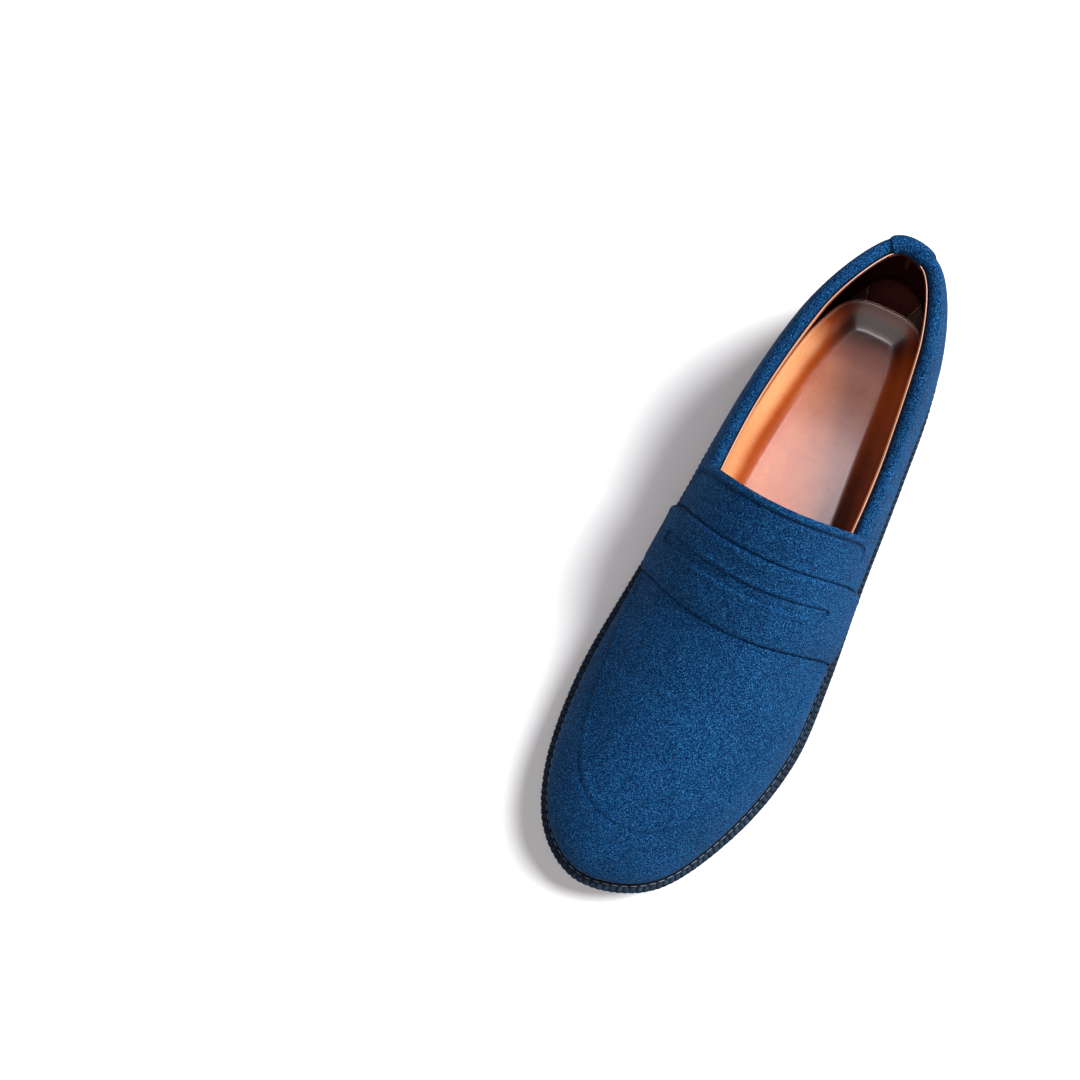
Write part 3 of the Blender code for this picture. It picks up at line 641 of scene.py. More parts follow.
def thread_material(name, colour):
    """Twisted polyester sewing thread: strands 0.7 mm apart with a slight gloss."""
    material, tree, shader, place = new_material(name, colour, 0.6, Specular_IOR_Level=0.15)
    strands = add_node(
        tree, "ShaderNodeTexWave", {"Scale": 1400.0, "Distortion": 1.5, "bands_direction": "DIAGONAL"},
        Vector=place,
    )
    finish(tree, shader, (strands, "Fac"), 0.5, 0.0001)
    return material


def grained_material(name, light, dark, roughness, grain, strength, metallic=0.0):
    """Pressed, woven, foamed or rolled stock: grains of two colours, so many to the metre."""
    material, tree, shader, place = new_material(name, light, roughness, Metallic=metallic)
    grains = add_node(tree, "ShaderNodeTexVoronoi", {"Scale": grain, "Randomness": 1.0}, Vector=place)
    shade = add_node(
        tree, "ShaderNodeValToRGB", {"steps": ((0.05, light), (0.75, dark))}, Fac=(grains, "Distance")
    )
    finish(tree, shader, (grains, "Distance"), strength, 0.0002, (shade, "Color"))
    return material


def make_material(name):
    """The material of this name, made when it is first asked for."""
    c = colours()
    edge_tones = (c.raw_edge, "D9A48E", "B07A66")
    makers = {
        # Blue suede for all of the upper: the nap catches light as a fine pale speckle
        "napped_suede": (suede_material,),
        # Tan calf with a low shine, painted darker towards the heel as the shade inside the heel
        "tan_lining_calf": (leather_material, (c.lining, "8E4416", "3A1006"), 0.4, 0.2),
        # Brown calf left rough side out, with no shine; its dark brown is partly the grip's own colour and
        # partly painted shade inside the heel
        "heel_grip_calf": (leather_material, (c.heel_lining, c.heel_lining, "1C0804"), 0.8, 0.0, 900.0, 0.5),
        # Calf polished to a gloss over the footbed, with painted light and shade: darker on the lateral side
        # and at the back as painted shade, a pale rim tone that is partly painted highlight, and darker into
        # the bed
        "polished_sock_calf": (leather_material, ("E09A66", c.sock, "3C1003"), 0.3, 0.4),
        # Undyed cut edge of the lining, a thin pale line inside the topline
        "raw_leather_edge": (leather_material, edge_tones, 0.7, 0.0, 2200.0),
        # Heel leather dyed black and waxed
        "dyed_heel_leather": (leather_material, ("0E0F12", "0B0C0F", "08090B"), 0.65, 0.04, 1200.0),
        # Navy rubber, painted near black as shade in the notches between its ribs and in its channel
        "ribbed_welt_rubber": (rubber_material, c.welt, "204058", 0.5),
        # Black rubber, duller than the welt
        "black_sole_rubber": (rubber_material, c.sole, "1E2229", 0.55),
        # Threads: blue in the suede, pale grey in the welt, sand in the heel grip
        "upper_thread": (thread_material, c.thread),
        "welt_thread": (thread_material, c.pale_thread),
        "heel_thread": (thread_material, "5E3220"),
        # Cotton twill with threads 0.4 mm apart
        "lining_twill": (grained_material, "ECE9E0", "C9C4B6", 0.9, 2500.0, 0.4),
        # Cellulose board, whose pressed fibres show as small flakes
        "pressed_fibre_board": (grained_material, "B39468", "7F6543", 0.85, 700.0, 0.4),
        # Granulated cork with grains 2 to 3 mm across
        "granulated_cork": (grained_material, "A8794C", "5E3D22", 0.9, 380.0, 0.7),
        # Open-cell foam with cells 0.8 mm across
        "latex_foam": (grained_material, "E9DFC6", "BFB294", 0.95, 1250.0, 0.6),
        # Steel with a light rolled scale
        "drawn_steel": (grained_material, "B9BABD", "8B8D91", 0.35, 900.0, 0.2, 1.0),
    }
    maker, *settings = makers[name]
    return bpy.data.materials.get(name) or maker(name, *settings)


# ---------------------------------------------------------------- meshes


def grid(points, burnish=None):
    """A bmesh surface over points by column and row, whose faces look away from the shoe's middle."""
    burnish = np.zeros(points.shape[:2]) if burnish is None else burnish
    across, along = np.diff(points, axis=0)[:, :-1], np.diff(points, axis=1)[:-1]
    y = points[:-1, :-1, 1]
    heart_z = feather_z(y) + 0.3 * INSTEP_HEIGHT * ridge_share(share_at(y))
    heart = np.stack([np.zeros_like(y), y * 0.9, heart_z], -1)
    if (np.cross(along, across) * (points[:-1, :-1] - heart)).sum() < 0:
        points, burnish = points[::-1], burnish[::-1]
    columns, rows = points.shape[:2]
    mesh = bmesh.new()
    # Each point carries the painted shade and tone that its material reads
    layer = mesh.verts.layers.float.new("burnish")
    bmesh.ops.create_grid(mesh, x_segments=rows - 1, y_segments=columns - 1, size=1)
    for vertex, point, shade in zip(mesh.verts, points.reshape(-1, 3), burnish.ravel()):
        vertex.co = point
        vertex[layer] = shade
    bmesh.ops.remove_doubles(mesh, verts=mesh.verts, dist=2e-6)
    bmesh.ops.dissolve_degenerate(mesh, edges=mesh.edges, dist=1e-7)
    return mesh


def placed(name, data):
    """An object for a mesh, a light or a camera, in the scene."""
    thing = bpy.data.objects.new(name, data)
    bpy.context.scene.collection.objects.link(thing)
    return thing


def mesh_object(name, mesh):
    """An object from a bmesh, which ends here."""
    data = bpy.data.meshes.new(name)
    mesh.to_mesh(data)
    mesh.free()
    return placed(name, data)


def piece_from(name, mesh, material, replaced=()):
    """A shown piece from a bmesh, riding on the shoe."""
    piece = mesh_object(name, mesh)
    piece.data.shade_smooth()
    piece.data.materials.append(make_material(material))
    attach(piece, "root")
    if replaced:
        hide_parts(*replaced)
    return piece


def ease(piece, width):
    """Rounds a piece's sharp edges."""
    bevel = piece.modifiers.new("Eased edges", "BEVEL")
    bevel.width = width
    bevel.segments = 2
    bevel.limit_method = "ANGLE"
    bevel.angle_limit = math.radians(50)


def thicken(piece, thickness, edge=0.0004):
    """A sheet's thickness, inwards, with its cut edges eased."""
    solid = piece.modifiers.new("Thickness", "SOLIDIFY")
    solid.thickness = thickness
    solid.offset = -1
    ease(piece, edge)


def stitches(name, places, directions, normals, length, thickness, material):
    """A row of stitches, each a short capsule lying along the seam."""
    mesh = bmesh.new()
    for place, direction, normal in zip(places, directions, normals):
        side = np.cross(normal, direction)
        turn = Matrix(np.stack([side, direction, normal], 1).tolist()).to_4x4()
        size = Matrix.Diagonal((thickness / 2, length / 2, thickness / 2, 1))
        matrix = Matrix.Translation(Vector(place)) @ turn @ size
        bmesh.ops.create_uvsphere(mesh, u_segments=6, v_segments=5, radius=1, matrix=matrix)
    bmesh.ops.recalc_face_normals(mesh, faces=mesh.faces)
    return piece_from(name, mesh, material)


def along_path(points, pitch):
    """Evenly spaced places along a path, and the path's direction there."""
    run = path_length(points)
    count = max(int(run[-1] / pitch), 1)
    middles = (np.arange(count) + 0.5) * run[-1] / count
    place, ahead, behind = (
        np.stack([np.interp(middles + step, run, points[:, i]) for i in range(3)], 1)
        for step in (0, pitch / 4, -pitch / 4)
    )
    return place, unit(ahead - behind)


def facing(direction, toward):
    """Normals square to the directions, as near as they can be to one way."""
    return unit(np.cross(direction, np.cross(toward, direction)))


# ---------------------------------------------------------------- the upper


def build_vamp():
    """The wall round the toe, from the welt up to the crease beside the apron's ridge."""
    side, station = around_toe()
    seam = apron_rise(side, station)
    rise = seam[:, None] * np.linspace(0, 1, 40) ** 0.9
    away = (seam[:, None] - rise) * pace(side, station, seam)[:, None]
    depth = 0.0002 * hump(away, 0.0010) - 0.00025 * hump(away - 0.004, 0.003)
    depth = depth + pressed(station, FRONT_LINE)[:, None]
    wall = skin(side[:, None], station[:, None], rise, depth)
    mesh = grid(np.concatenate([tucked(side, station, TUCK, 0.0), wall], 1))
    thicken(piece_from("vamp_suede", mesh, "napped_suede", ("vamp",)), SUEDE)


def build_apron():
    """The top of the forepart, with its margin turned up into a soft ridge."""
    side, station = around_toe()
    seam = apron_rise(side, station)
    scale = pace(side, station, seam)[:, None]
    near = np.linspace(0, 0.008, 18) / scale
    far = np.linspace(0, 1, 34)[1:] ** 1.2
    start = seam[:, None] + near[:, -1:]
    rise = np.concatenate([seam[:, None] + near, start + (1 - start) * far], 1)
    away = (rise - seam[:, None]) * scale
    toe = ramp(station, 1.6, 2.6)[:, None]
    ridge = sizes().ridge_height * (1 - 0.45 * toe) * hump(away - 0.0022, 0.0018)
    depth = (0.0004 - 0.0003 * toe) * hump(away, 0.0007) - ridge
    depth = depth + pressed(station, FRONT_LINE)[:, None]
    mesh = grid(skin(side[:, None], station[:, None], rise, depth))
    thicken(piece_from("apron_suede", mesh, "napped_suede", ("apron", "apron_seam")), SUEDE)


def build_quarters():
    """The two sides, turned over a cord at the topline and closed at the back."""
    station = beside(station_at(VAMP_REAR) * np.linspace(0, 1, 110) ** 1.15, REAR_LINE)
    for name, hand in (("quarter_lateral", LATERAL), ("quarter_medial", MEDIAL)):
        side = np.full_like(station, hand)
        end = topline_rise(side, station, FOLD_RADIUS)
        rise = end[:, None] * np.linspace(0, 1, 40) ** 0.9
        seam = 0.0004 * hump(station, 0.012)[:, None]
        below = (end[:, None] - rise) * pace(side, station, end * 0.98)[:, None]
        groove = 0.00035 * hump(below - 0.0028, 0.0012)
        line = pressed(station, REAR_LINE)[:, None]
        wall = skin(side[:, None], station[:, None], rise, seam + groove + line)
        turned = fold(side, station, end, 0.0, FOLD_RADIUS, FOLD_LEG)
        mesh = grid(np.concatenate([tucked(side, station, TUCK, 0.0), wall, turned], 1))
        replaced = (name, "topline_cord") if name.endswith("lateral") else (name,)
        thicken(piece_from(name + "_suede", mesh, "napped_suede", replaced), SUEDE)


def girth(sweep):
    """Sides for a sweep from the lateral foot (-1) over the ridge (0) to the medial foot (1)."""
    return np.where(sweep < 0, LATERAL, MEDIAL)


def build_tongue():
    """The tongue over the instep, hemmed along its rear edge, with rounded corners."""
    sweep = np.linspace(-1, 1, 121)
    side = girth(sweep)
    front = STRAP_REAR + 0.006
    back = np.full_like(sweep, TONGUE_REAR)
    corner = np.clip((np.abs(sweep) - CORNER_START) / (1 - CORNER_START), 0, 1)
    back = back + CORNER_RADIUS * (1 - np.sqrt(np.maximum(1 - corner**2, 0)))
    spans = ((0, 0.3, 22), (0.3, 0.7, 12), (0.7, 0.82, 18), (0.82, 1, 4))
    share = np.unique(np.concatenate([np.linspace(*span) for span in spans]).round(9))[:, None]
    station = station_at(back + (front - back) * share)
    low = topline_rise(side[None], station, TONGUE_SIDE_OVERLAP)
    rise = low + (1 - low) * (1 - np.abs(sweep))
    from_edge = (front - back) * share
    to_side = (rise - low) * 0.075
    hem = 0.0008 * hump(from_edge - sizes().hem_distance, 0.0006) * (to_side > 0.002)
    roll = 0.0006 * hump(from_edge, 0.0009) + 0.0006 * hump(to_side, 0.0009)
    swell = 0.0006 * hump(from_edge - 0.0016, 0.0009)
    line = pressed(station, REAR_LINE)
    mesh = grid(skin(side[None], station, rise, -TONGUE_LIFT + hem + roll - swell + line))
    thicken(piece_from("tongue_suede", mesh, "napped_suede", ("tongue",)), SUEDE)


def build_hem_stitches():
    """The single row along the tongue's rear edge."""
    sweep = np.linspace(-0.93, 0.93, 200)
    side = girth(sweep)
    station = station_at(TONGUE_REAR + sizes().hem_distance)
    low = topline_rise(side, station, TONGUE_SIDE_OVERLAP)
    rise = low + (1 - low) * (1 - np.abs(sweep))
    path = skin(side, station, rise, -TONGUE_LIFT + 0.0005)
    place, direction = along_path(path, sizes().hem_pitch)
    across = np.cross(direction, (0.0, 1.0, 0.15))
    normal = unit(across * np.sign(across[:, 2:3]))
    stitches("hem_stitches", place, direction, normal, 0.0022, 0.0005, "upper_thread")


def strap_relief(from_rear, from_front, across, beyond):
    """Depth of the strap's face: eased edges, a puckered lip and the slot's floor."""
    rear_edge = 0.0006 * hump(from_rear, 0.0005)
    front_edge = 0.0006 * hump(from_front, 0.0008) + 0.0009 * (1 - ramp(from_front, 0, 0.007))
    swell = 0.0003 * hump(from_rear - 0.0020, 0.0012)
    reach_out = np.sqrt(np.maximum(beyond, 0) ** 2 + across**2) - sizes().slot_width / 2
    floor = 0.0006 * (1 - ramp(reach_out, -0.0006, 0.0003))
    crease = np.where(across < 0, 0.0009, 0.0005) * hump(reach_out, 0.00035)
    lip = 0.0003 * hump(reach_out - 0.0014, 0.0008)
    return rear_edge + front_edge - swell + floor + crease - lip


def strap_columns(slot_end):
    """Rises up one side of the strap, closer together near the end of its slot."""
    near, far = slot_end - 0.04, slot_end + 0.05
    spans = ((STRAP_FOOT, near, 46), (near, far, 30), (far, 1, 46))
    return np.unique(np.concatenate([np.linspace(*span) for span in spans]).round(9))


def build_strap():
    """The saddle from welt to welt, with a slot whose floor is the doubled strap below."""
    middle = STRAP_REAR + SLOT_PLACE * (STRAP_FRONT - STRAP_REAR)
    station = station_at(middle)
    crown = INSTEP_HEIGHT * ridge_share(share_at(middle))
    ends = [float(rise_at(side, station, crown - SLOT_END_DROP[side])) for side in (LATERAL, MEDIAL)]
    lateral, medial = (strap_columns(end) for end in ends)
    rise = np.concatenate([lateral, medial[-2::-1]])
    side = np.concatenate([np.full(len(lateral), LATERAL), np.full(len(medial) - 1, MEDIAL)])
    run = path_length(last_point(side, station, rise))
    slot_start, slot_finish = np.interp([ends[0], 2 - ends[1]], np.where(side < 0, rise, 2 - rise), run)
    beyond = np.maximum(slot_start - run, run - slot_finish)
    near, far = middle - 0.0045, middle + 0.0055
    spans = ((STRAP_REAR, near, 24), (near, far, 44), (far, STRAP_FRONT, 26))
    y = np.concatenate([[STRAP_REAR], *(np.linspace(*span)[1:] for span in spans)])[:, None]
    depth = -STRAP_LIFT + strap_relief(y - STRAP_REAR, STRAP_FRONT - y, y - middle, beyond[None])
    depth = depth + 0.0009 * (1 - ramp(rise, STRAP_FOOT, 0.22))[None]
    points = skin(side[None], station_at(y), rise[None], depth)
    piece = piece_from("strap_suede", grid(points), "napped_suede", ("strap", "strap_backing"))
    thicken(piece, SUEDE, 0.0005)


def build_heel_tab():
    """The pull tab folded over the topline at the back."""
    side, station = round_heel(TAB_HALF_STATION, 61)
    end = topline_rise(side, station, FOLD_RADIUS - CLEARANCE)
    start = topline_rise(side, station, TAB_OUTSIDE)
    rise = start[:, None] + (end - start)[:, None] * np.linspace(0, 1, 26)
    edge = 0.0004 * hump(TAB_HALF_STATION - station, 0.012)
    depth = edge[:, None] - TAB_LIFT + 0.0004 * hump((rise - start[:, None]) * 0.05, 0.001)
    wall = skin(side[:, None], station[:, None], rise, depth)
    turned = fold(side, station, end, -TAB_LIFT, FOLD_RADIUS + 0.0010, TAB_INSIDE)
    turned = turned - edge[:, None, None] * (turned - turned.mean(1, keepdims=True)) * 40
    mesh = grid(np.concatenate([wall, turned], 1))
    thicken(piece_from("heel_tab_suede", mesh, "napped_suede", ("heel_tab",)), SUEDE)


# ---------------------------------------------------------------- inside the shoe


def lining_points(side, station, depth, step=0.0):
    """Columns of lining from under the footbed up behind the turned topline."""
    top = topline_rise(side, station, FOLD_RADIUS / 2)
    turn = topline_rise(side, station, FOLD_RADIUS + FOLD_LEG + 0.004)
    low = rise_at(side, station, np.full_like(top, 0.003))
    lower = low[:, None] + (turn - low)[:, None] * np.linspace(0, 1, 22)
    upper = turn[:, None] + (top - turn)[:, None] * np.linspace(0, 1, 12)[1:]
    rise = np.concatenate([lower, upper], 1)
    lean = ramp(rise, turn[:, None] - 0.02, turn[:, None] + (top - turn)[:, None] * 0.5)
    depth = depth + step + (FOLDED_LINING_DEPTH - LINING_DEPTH) * lean
    wall = skin(side[:, None], station[:, None], rise, depth)
    shares = ((0, 0.0), (0.4, 0.0), (0.7, 0.0006), (0.9, 0.0018))
    floor = [tucked(side, station, 0.026 - 0.021 * share, INSOLE_TOP + lift + step) for share, lift in shares]
    return np.concatenate([*floor, wall], 1)


def build_linings():
    """Tan quarter linings and the darker heel grip over their back ends."""
    front = station_at(VAMP_REAR)
    for name, side in (("quarter_lining_lateral", LATERAL), ("quarter_lining_medial", MEDIAL)):
        station = np.linspace(HEEL_LINING_STATION + 0.012, front, 90)
        points = lining_points(np.full_like(station, side), station, LINING_DEPTH)
        # Painted shade: the linings darken towards the heel
        mesh = grid(points, 1 - ramp(points[..., 1], *HEEL_PAINTED_SHADE))
        piece = piece_from(name + "_calf", mesh, "tan_lining_calf", (name,))
        thicken(piece, LINING, 0.0002)
    side, station = round_heel(HEEL_LINING_STATION, 61)
    piece = piece_from(
        "heel_grip", grid(lining_points(side, station, LINING_DEPTH, 0.0002)), "heel_grip_calf",
        ("heel_lining",),
    )
    thicken(piece, LINING, 0.0002)


def build_raw_edge():
    """The cut top edge of the lining, just inside the turned suede."""
    side, station = round_heel(station_at(TONGUE_REAR + 0.006), 241)
    keep = station > TAB_HALF_STATION + 0.004
    for name, chosen in (("raw_edge_lateral", keep & (side < 0)), ("raw_edge_medial", keep & (side > 0))):
        sides, stations = side[chosen], station[chosen]
        rise = topline_rise(sides, stations, FOLD_RADIUS / 2 - 0.0002)
        normal, up = axes(sides, stations, rise)
        centre = last_point(sides, stations, rise) - (FOLDED_LINING_DEPTH + 0.0002) * normal
        turns = np.linspace(0, 2 * math.pi, 9)
        rim = [centre + RAW_EDGE * math.cos(a) * normal + RAW_EDGE * math.sin(a) * up for a in turns]
        tube = np.stack(rim, 1)
        caps = np.repeat(centre[[0, -1], None], len(turns), 1)
        tube = np.concatenate([caps[:1], tube, caps[1:]])
        piece_from(name, grid(tube), "raw_leather_edge")


def build_heel_stitches():
    """Zigzag down the middle of the heel grip, and a straight row down each side of it."""
    high = topline_rise(MEDIAL, 0.002, ZIGZAG_END)
    low = rise_at(MEDIAL, 0.002, ZIGZAG_END)
    toward = (0.0, 1.0, 0.3)
    rise = np.linspace(high, low, ZIGZAG_STITCHES)
    swing = np.where(np.arange(ZIGZAG_STITCHES) % 2, MEDIAL, LATERAL)
    path = skin(swing, ZIGZAG_STATION, rise, LINING_DEPTH + LINING + 0.0004)
    place = (path[1:] + path[:-1]) / 2
    direction = unit(path[1:] - path[:-1])
    normal = facing(direction, toward)
    stitches("heel_zigzag", place, direction, normal, 0.0034, 0.0006, "heel_thread")
    for name, side in (("heel_row_lateral", LATERAL), ("heel_row_medial", MEDIAL)):
        rise = np.linspace(high, low, 60)
        line = skin(side, HEEL_LINING_STATION - 0.03, rise, LINING_DEPTH + LINING + 0.0003)
        place, direction = along_path(line, 0.003)
        normal = facing(direction, toward)
        stitches(name, place, direction, normal, 0.0022, 0.0005, "heel_thread")


def build_sock():
    """The polished sock over its foam: a raised rim round a dished bed with a rounded back."""
    side, station = whole_loop()
    centre, direction, length = ray(side, station, 0.0)
    y = centre[:, 1]
    side_edge = length - FOOTBED_INSET - TOE_CRAMP * ramp(y, y_at(0), Y_TOE)
    # The rear edge is a wide arc, which meets the sides in rounded corners
    rear_reach = side_edge[0] - FOOTBED_SHORTFALL
    back = np.clip(-direction[:, 1], 1e-4, 1)
    ahead = SOCK_ARC - rear_reach
    arc = np.sqrt(SOCK_ARC**2 - (ahead * direction[:, 0]) ** 2) - ahead * back
    edge = (side_edge**-5.0 + (arc / np.sqrt(back)) ** -5.0) ** -0.2
    share = np.concatenate([[1, 0.997, 0.99, 0.975], np.linspace(0.95, 0, 34)])
    place = centre[:, None] + direction[:, None] * edge[:, None, None] * share[None, :, None]
    heel = 1 - 0.9 * ramp(place[..., 1], y_at(-0.2), y_at(0.1))
    inside = np.linalg.norm(place[:, :, None] - place[:, 0], axis=-1).min(-1)
    dish = DISH * heel * np.maximum(1 - inside / DISH_WIDTH, 0) ** 2
    into_bed = inside - BED_EDGE
    behind = 1 - ramp(place[..., 1], y_at(-0.42), y_at(-0.30))
    bed = BED_DEPTH * ramp(into_bed, -0.003, 0.003) * heel * (1 - 0.75 * behind) - BED_DROP * heel
    round_over = 0.0007 * (1 - ramp((1 - share[None]) * edge[:, None], 0, 0.0009))
    # Painted shade: the lateral side and the back of the sock are painted darker, as the shade of the lateral
    # wall and the heel. The sock is also darker into its bed and down the bed's edge
    lateral = 1 - ramp(place[..., 0], -0.025, -0.010)
    rear = 1 - ramp(place[..., 1], y_at(-0.42), y_at(-0.32))
    burnish = 0.3 * ramp(into_bed, -0.006, 0.001) + 0.15 * hump(into_bed, 0.0035)
    burnish = burnish + 0.6 * lateral + 0.75 * rear
    height = SOCK_TOP + dish - bed - round_over
    points = np.concatenate([place, (feather_z(place[..., 1]) + height)[..., None]], -1)
    layers = (
        ("sock_calf", 0.0, SOCK, "polished_sock_calf", "sock_liner", "lining_leather"),
        ("footbed_pad", SOCK + CLEARANCE, FOOTBED, "latex_foam", "footbed_foam", "foam"),
    )
    for name, drop, thickness, material, node, slot in layers:
        mesh = grid(points - (0, 0, drop), burnish)
        if sum(face.normal.z * face.calc_area() for face in mesh.faces) < 0:
            bmesh.ops.reverse_faces(mesh, faces=mesh.faces)
        piece = piece_from(name, mesh, material, (node,))
        thicken(piece, thickness, 0.0001)


def build_inner_parts():
    """The CAD nodes that the finished shoe hides keep their shape and take their own stock."""
    finishes = {
        "vamp_lining": "lining_twill", "tongue_lining": "tan_lining_calf", "toe_puff": "pressed_fibre_board",
        "heel_counter": "pressed_fibre_board", "insole": "pressed_fibre_board",
        "insole_rib": "pressed_fibre_board", "cork_filler": "granulated_cork",
        "shank": "drawn_steel",
    }
    finishes.update({name: "drawn_steel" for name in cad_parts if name.startswith("heel_nail")})
    for name, material in finishes.items():
        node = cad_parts[name]
        for slot in node.material_slots:
            slot.material = make_material(material)


# ---------------------------------------------------------------- the bottom


def band_points(side, station, section):
    """A closed band round the shoe, from a section of distances out from the feather edge and heights."""
    centre, direction, length = ray(side, station, 0.0)
    rows = []
    for out, height in section:
        place = centre + direction * (length + out)[:, None]
        rows.append(np.column_stack([place, feather_z(place[:, 1]) + height]))
    return np.stack(rows, 1)


def build_welt():
    """A flanged welt, ribbed across its top and edge, with a channel for the thread beside the upper."""
    side, station, around_length = evenly_around(1600)
    ribs = round(around_length / sizes().rib_pitch)
    wave = np.linspace(0, ribs, len(side)) % 1
    notch = hump(wave - 0.5, 0.14)
    scored = 0.35 * hump(wave - 0.1, 0.05) + 0.25 * hump(wave - 0.85, 0.04)
    rib = -sizes().rib_height * (notch + scored)
    margin = edge_margin(ray(side, station, 0.0)[0][:, 1])
    crown = WELT_CROWN + rib
    section = [
        (WELT_INSIDE, WELT_TOP), (0.28 * margin, WELT_TOP), (0.34 * margin, CHANNEL_FLOOR),
        (CHANNEL * margin, CHANNEL_FLOOR), (0.53 * margin, WELT_CROWN - 0.0001),
        (0.57 * margin, WELT_CROWN + rib * 0.6), (0.64 * margin, crown), (0.75 * margin, crown),
        (margin - 0.0008, crown), (margin - 0.0002 + rib * 0.4, WELT_CROWN - 0.0004 + rib),
        (margin + rib * 0.7, WELT_CROWN - 0.0010 + rib * 0.4), (margin + rib * 0.7, WELT_BOTTOM + 0.0004),
        (margin - 0.0003, WELT_BOTTOM), (WELT_INSIDE, WELT_BOTTOM), (WELT_INSIDE, WELT_TOP),
    ]
    # Painted shade: the notches between the ribs and the thread channel are painted black
    painted_recess_shade = np.zeros((len(side), len(section)))
    painted_recess_shade[:, 5:-3] = np.minimum(notch + scored, 1)[:, None]
    painted_recess_shade[:, 1:4] = 1
    mesh = grid(band_points(side, station, section), painted_recess_shade)
    piece_from("welt_ribbed", mesh, "ribbed_welt_rubber", ("welt",))


def build_welt_stitches():
    """Pale lockstitch in the welt's channel, all round."""
    side, station, _ = evenly_around(900)
    centre, direction, length = ray(side, station, 0.0)
    margin = edge_margin(centre[:, 1])
    place = centre + direction * (length + CHANNEL * margin)[:, None]
    path = np.column_stack([place, feather_z(place[:, 1]) + WELT_TOP - 0.0005])
    place, along = along_path(path, 0.0040)
    normal = np.tile((0.0, 0.0, 1.0), (len(place), 1))
    along = unit(along * (1, 1, 0))
    stitches("welt_stitches", place, along, normal, 0.0038, 0.0004, "welt_thread")


def slab(name, side, station, margin, top, bottom, material, replaced, edge=0.0005):
    """A layer of the bottom with eased edges, as wide as its margin."""
    centre, direction, length = ray(side, station, 0.0)
    out = length + margin(centre[:, 1])
    share = np.array([1, 0.75, 0.5, 0.25, 0])
    place = centre[:, None] + direction[:, None] * out[:, None, None] * share[None, :, None]
    mesh = grid(np.concatenate([place, top(place[..., 1])[..., None]], -1))
    made = bmesh.ops.extrude_face_region(mesh, geom=mesh.faces[:])
    for vertex in (v for v in made["geom"] if isinstance(v, bmesh.types.BMVert)):
        vertex.co.z = bottom(vertex.co.y)
    bmesh.ops.recalc_face_normals(mesh, faces=mesh.faces)
    piece = piece_from(name, mesh, material, replaced)
    ease(piece, edge)
    return piece


def above_feather(height):
    return lambda y: feather_z(y) + height


def level(height):
    return lambda y: height + 0 * y


def build_outsole():
    """The rubber outsole, with grooves across the forepart."""
    side, station = whole_loop()
    piece = slab(
        "outsole_rubber", side, station, edge_margin, above_feather(OUTSOLE_TOP),
        above_feather(OUTSOLE_BOTTOM), "black_sole_rubber", ("outsole",),
    )
    cutter = bmesh.new()
    for y in np.linspace(*GROOVE_SPAN, GROOVE_COUNT):
        place = Matrix.Translation((0, y, feather_z(y) + OUTSOLE_BOTTOM))
        shape = Matrix.Diagonal((LAST_WIDTH * 2, GROOVE_WIDTH, 2 * GROOVE_DEPTH, 1))
        bmesh.ops.create_cube(cutter, size=1, matrix=place @ shape)
    grooves = mesh_object("outsole_grooves", cutter)
    cut = piece.modifiers.new("Grooves", "BOOLEAN")
    cut.object = grooves
    cut.solver = "EXACT"
    piece.modifiers.move(1, 0)
    bpy.context.view_layer.update()
    graph = bpy.context.evaluated_depsgraph_get()
    finished = bpy.data.meshes.new_from_object(piece.evaluated_get(graph))
    piece.modifiers.clear()
    piece.data = finished
    finished.shade_smooth()
    finished.set_sharp_from_angle(angle=math.radians(35))
    bpy.data.objects.remove(grooves)


def build_heel():
    """The heel stack: a rubber top piece under two leather lifts."""
    side, station = round_heel(station_at(HEEL_BREAST), 141)
    joint = HEEL_TOP_PIECE + HEEL_LIFT

    def margin(y):
        return edge_margin(y) - HEEL_TAPER

    layers = (
        ("heel_top_rubber", level(HEEL_TOP_PIECE), level(0.0), "black_sole_rubber",
         "heel_top_piece", "sole_rubber"),
        ("heel_lift_lower_leather", level(joint), level(HEEL_TOP_PIECE + CLEARANCE), "dyed_heel_leather",
         "heel_lift_lower", "stacked_leather"),
        ("heel_lift_upper_leather", above_feather(OUTSOLE_BOTTOM - CLEARANCE), level(joint + CLEARANCE),
         "dyed_heel_leather", "heel_lift_upper", "stacked_leather"),
    )
    for name, top, bottom, material, node, slot in layers:
        piece = slab(name, side, station, margin, top, bottom, material, (node,), 0.0004)
        piece.data.set_sharp_from_angle(angle=math.radians(40))


# ---------------------------------------------------------------- the stage


def area_light(name, place, aim, size, power, colour):
    data = bpy.data.lights.new(name, "AREA")
    data.shape = "DISK"
    data.size = size
    data.energy = power
    data.color = linear(colour)[:3]
    light = placed(name, data)
    light.location = place
    light.rotation_euler = (Vector(aim) - Vector(place)).to_track_quat("-Z", "Y").to_euler()


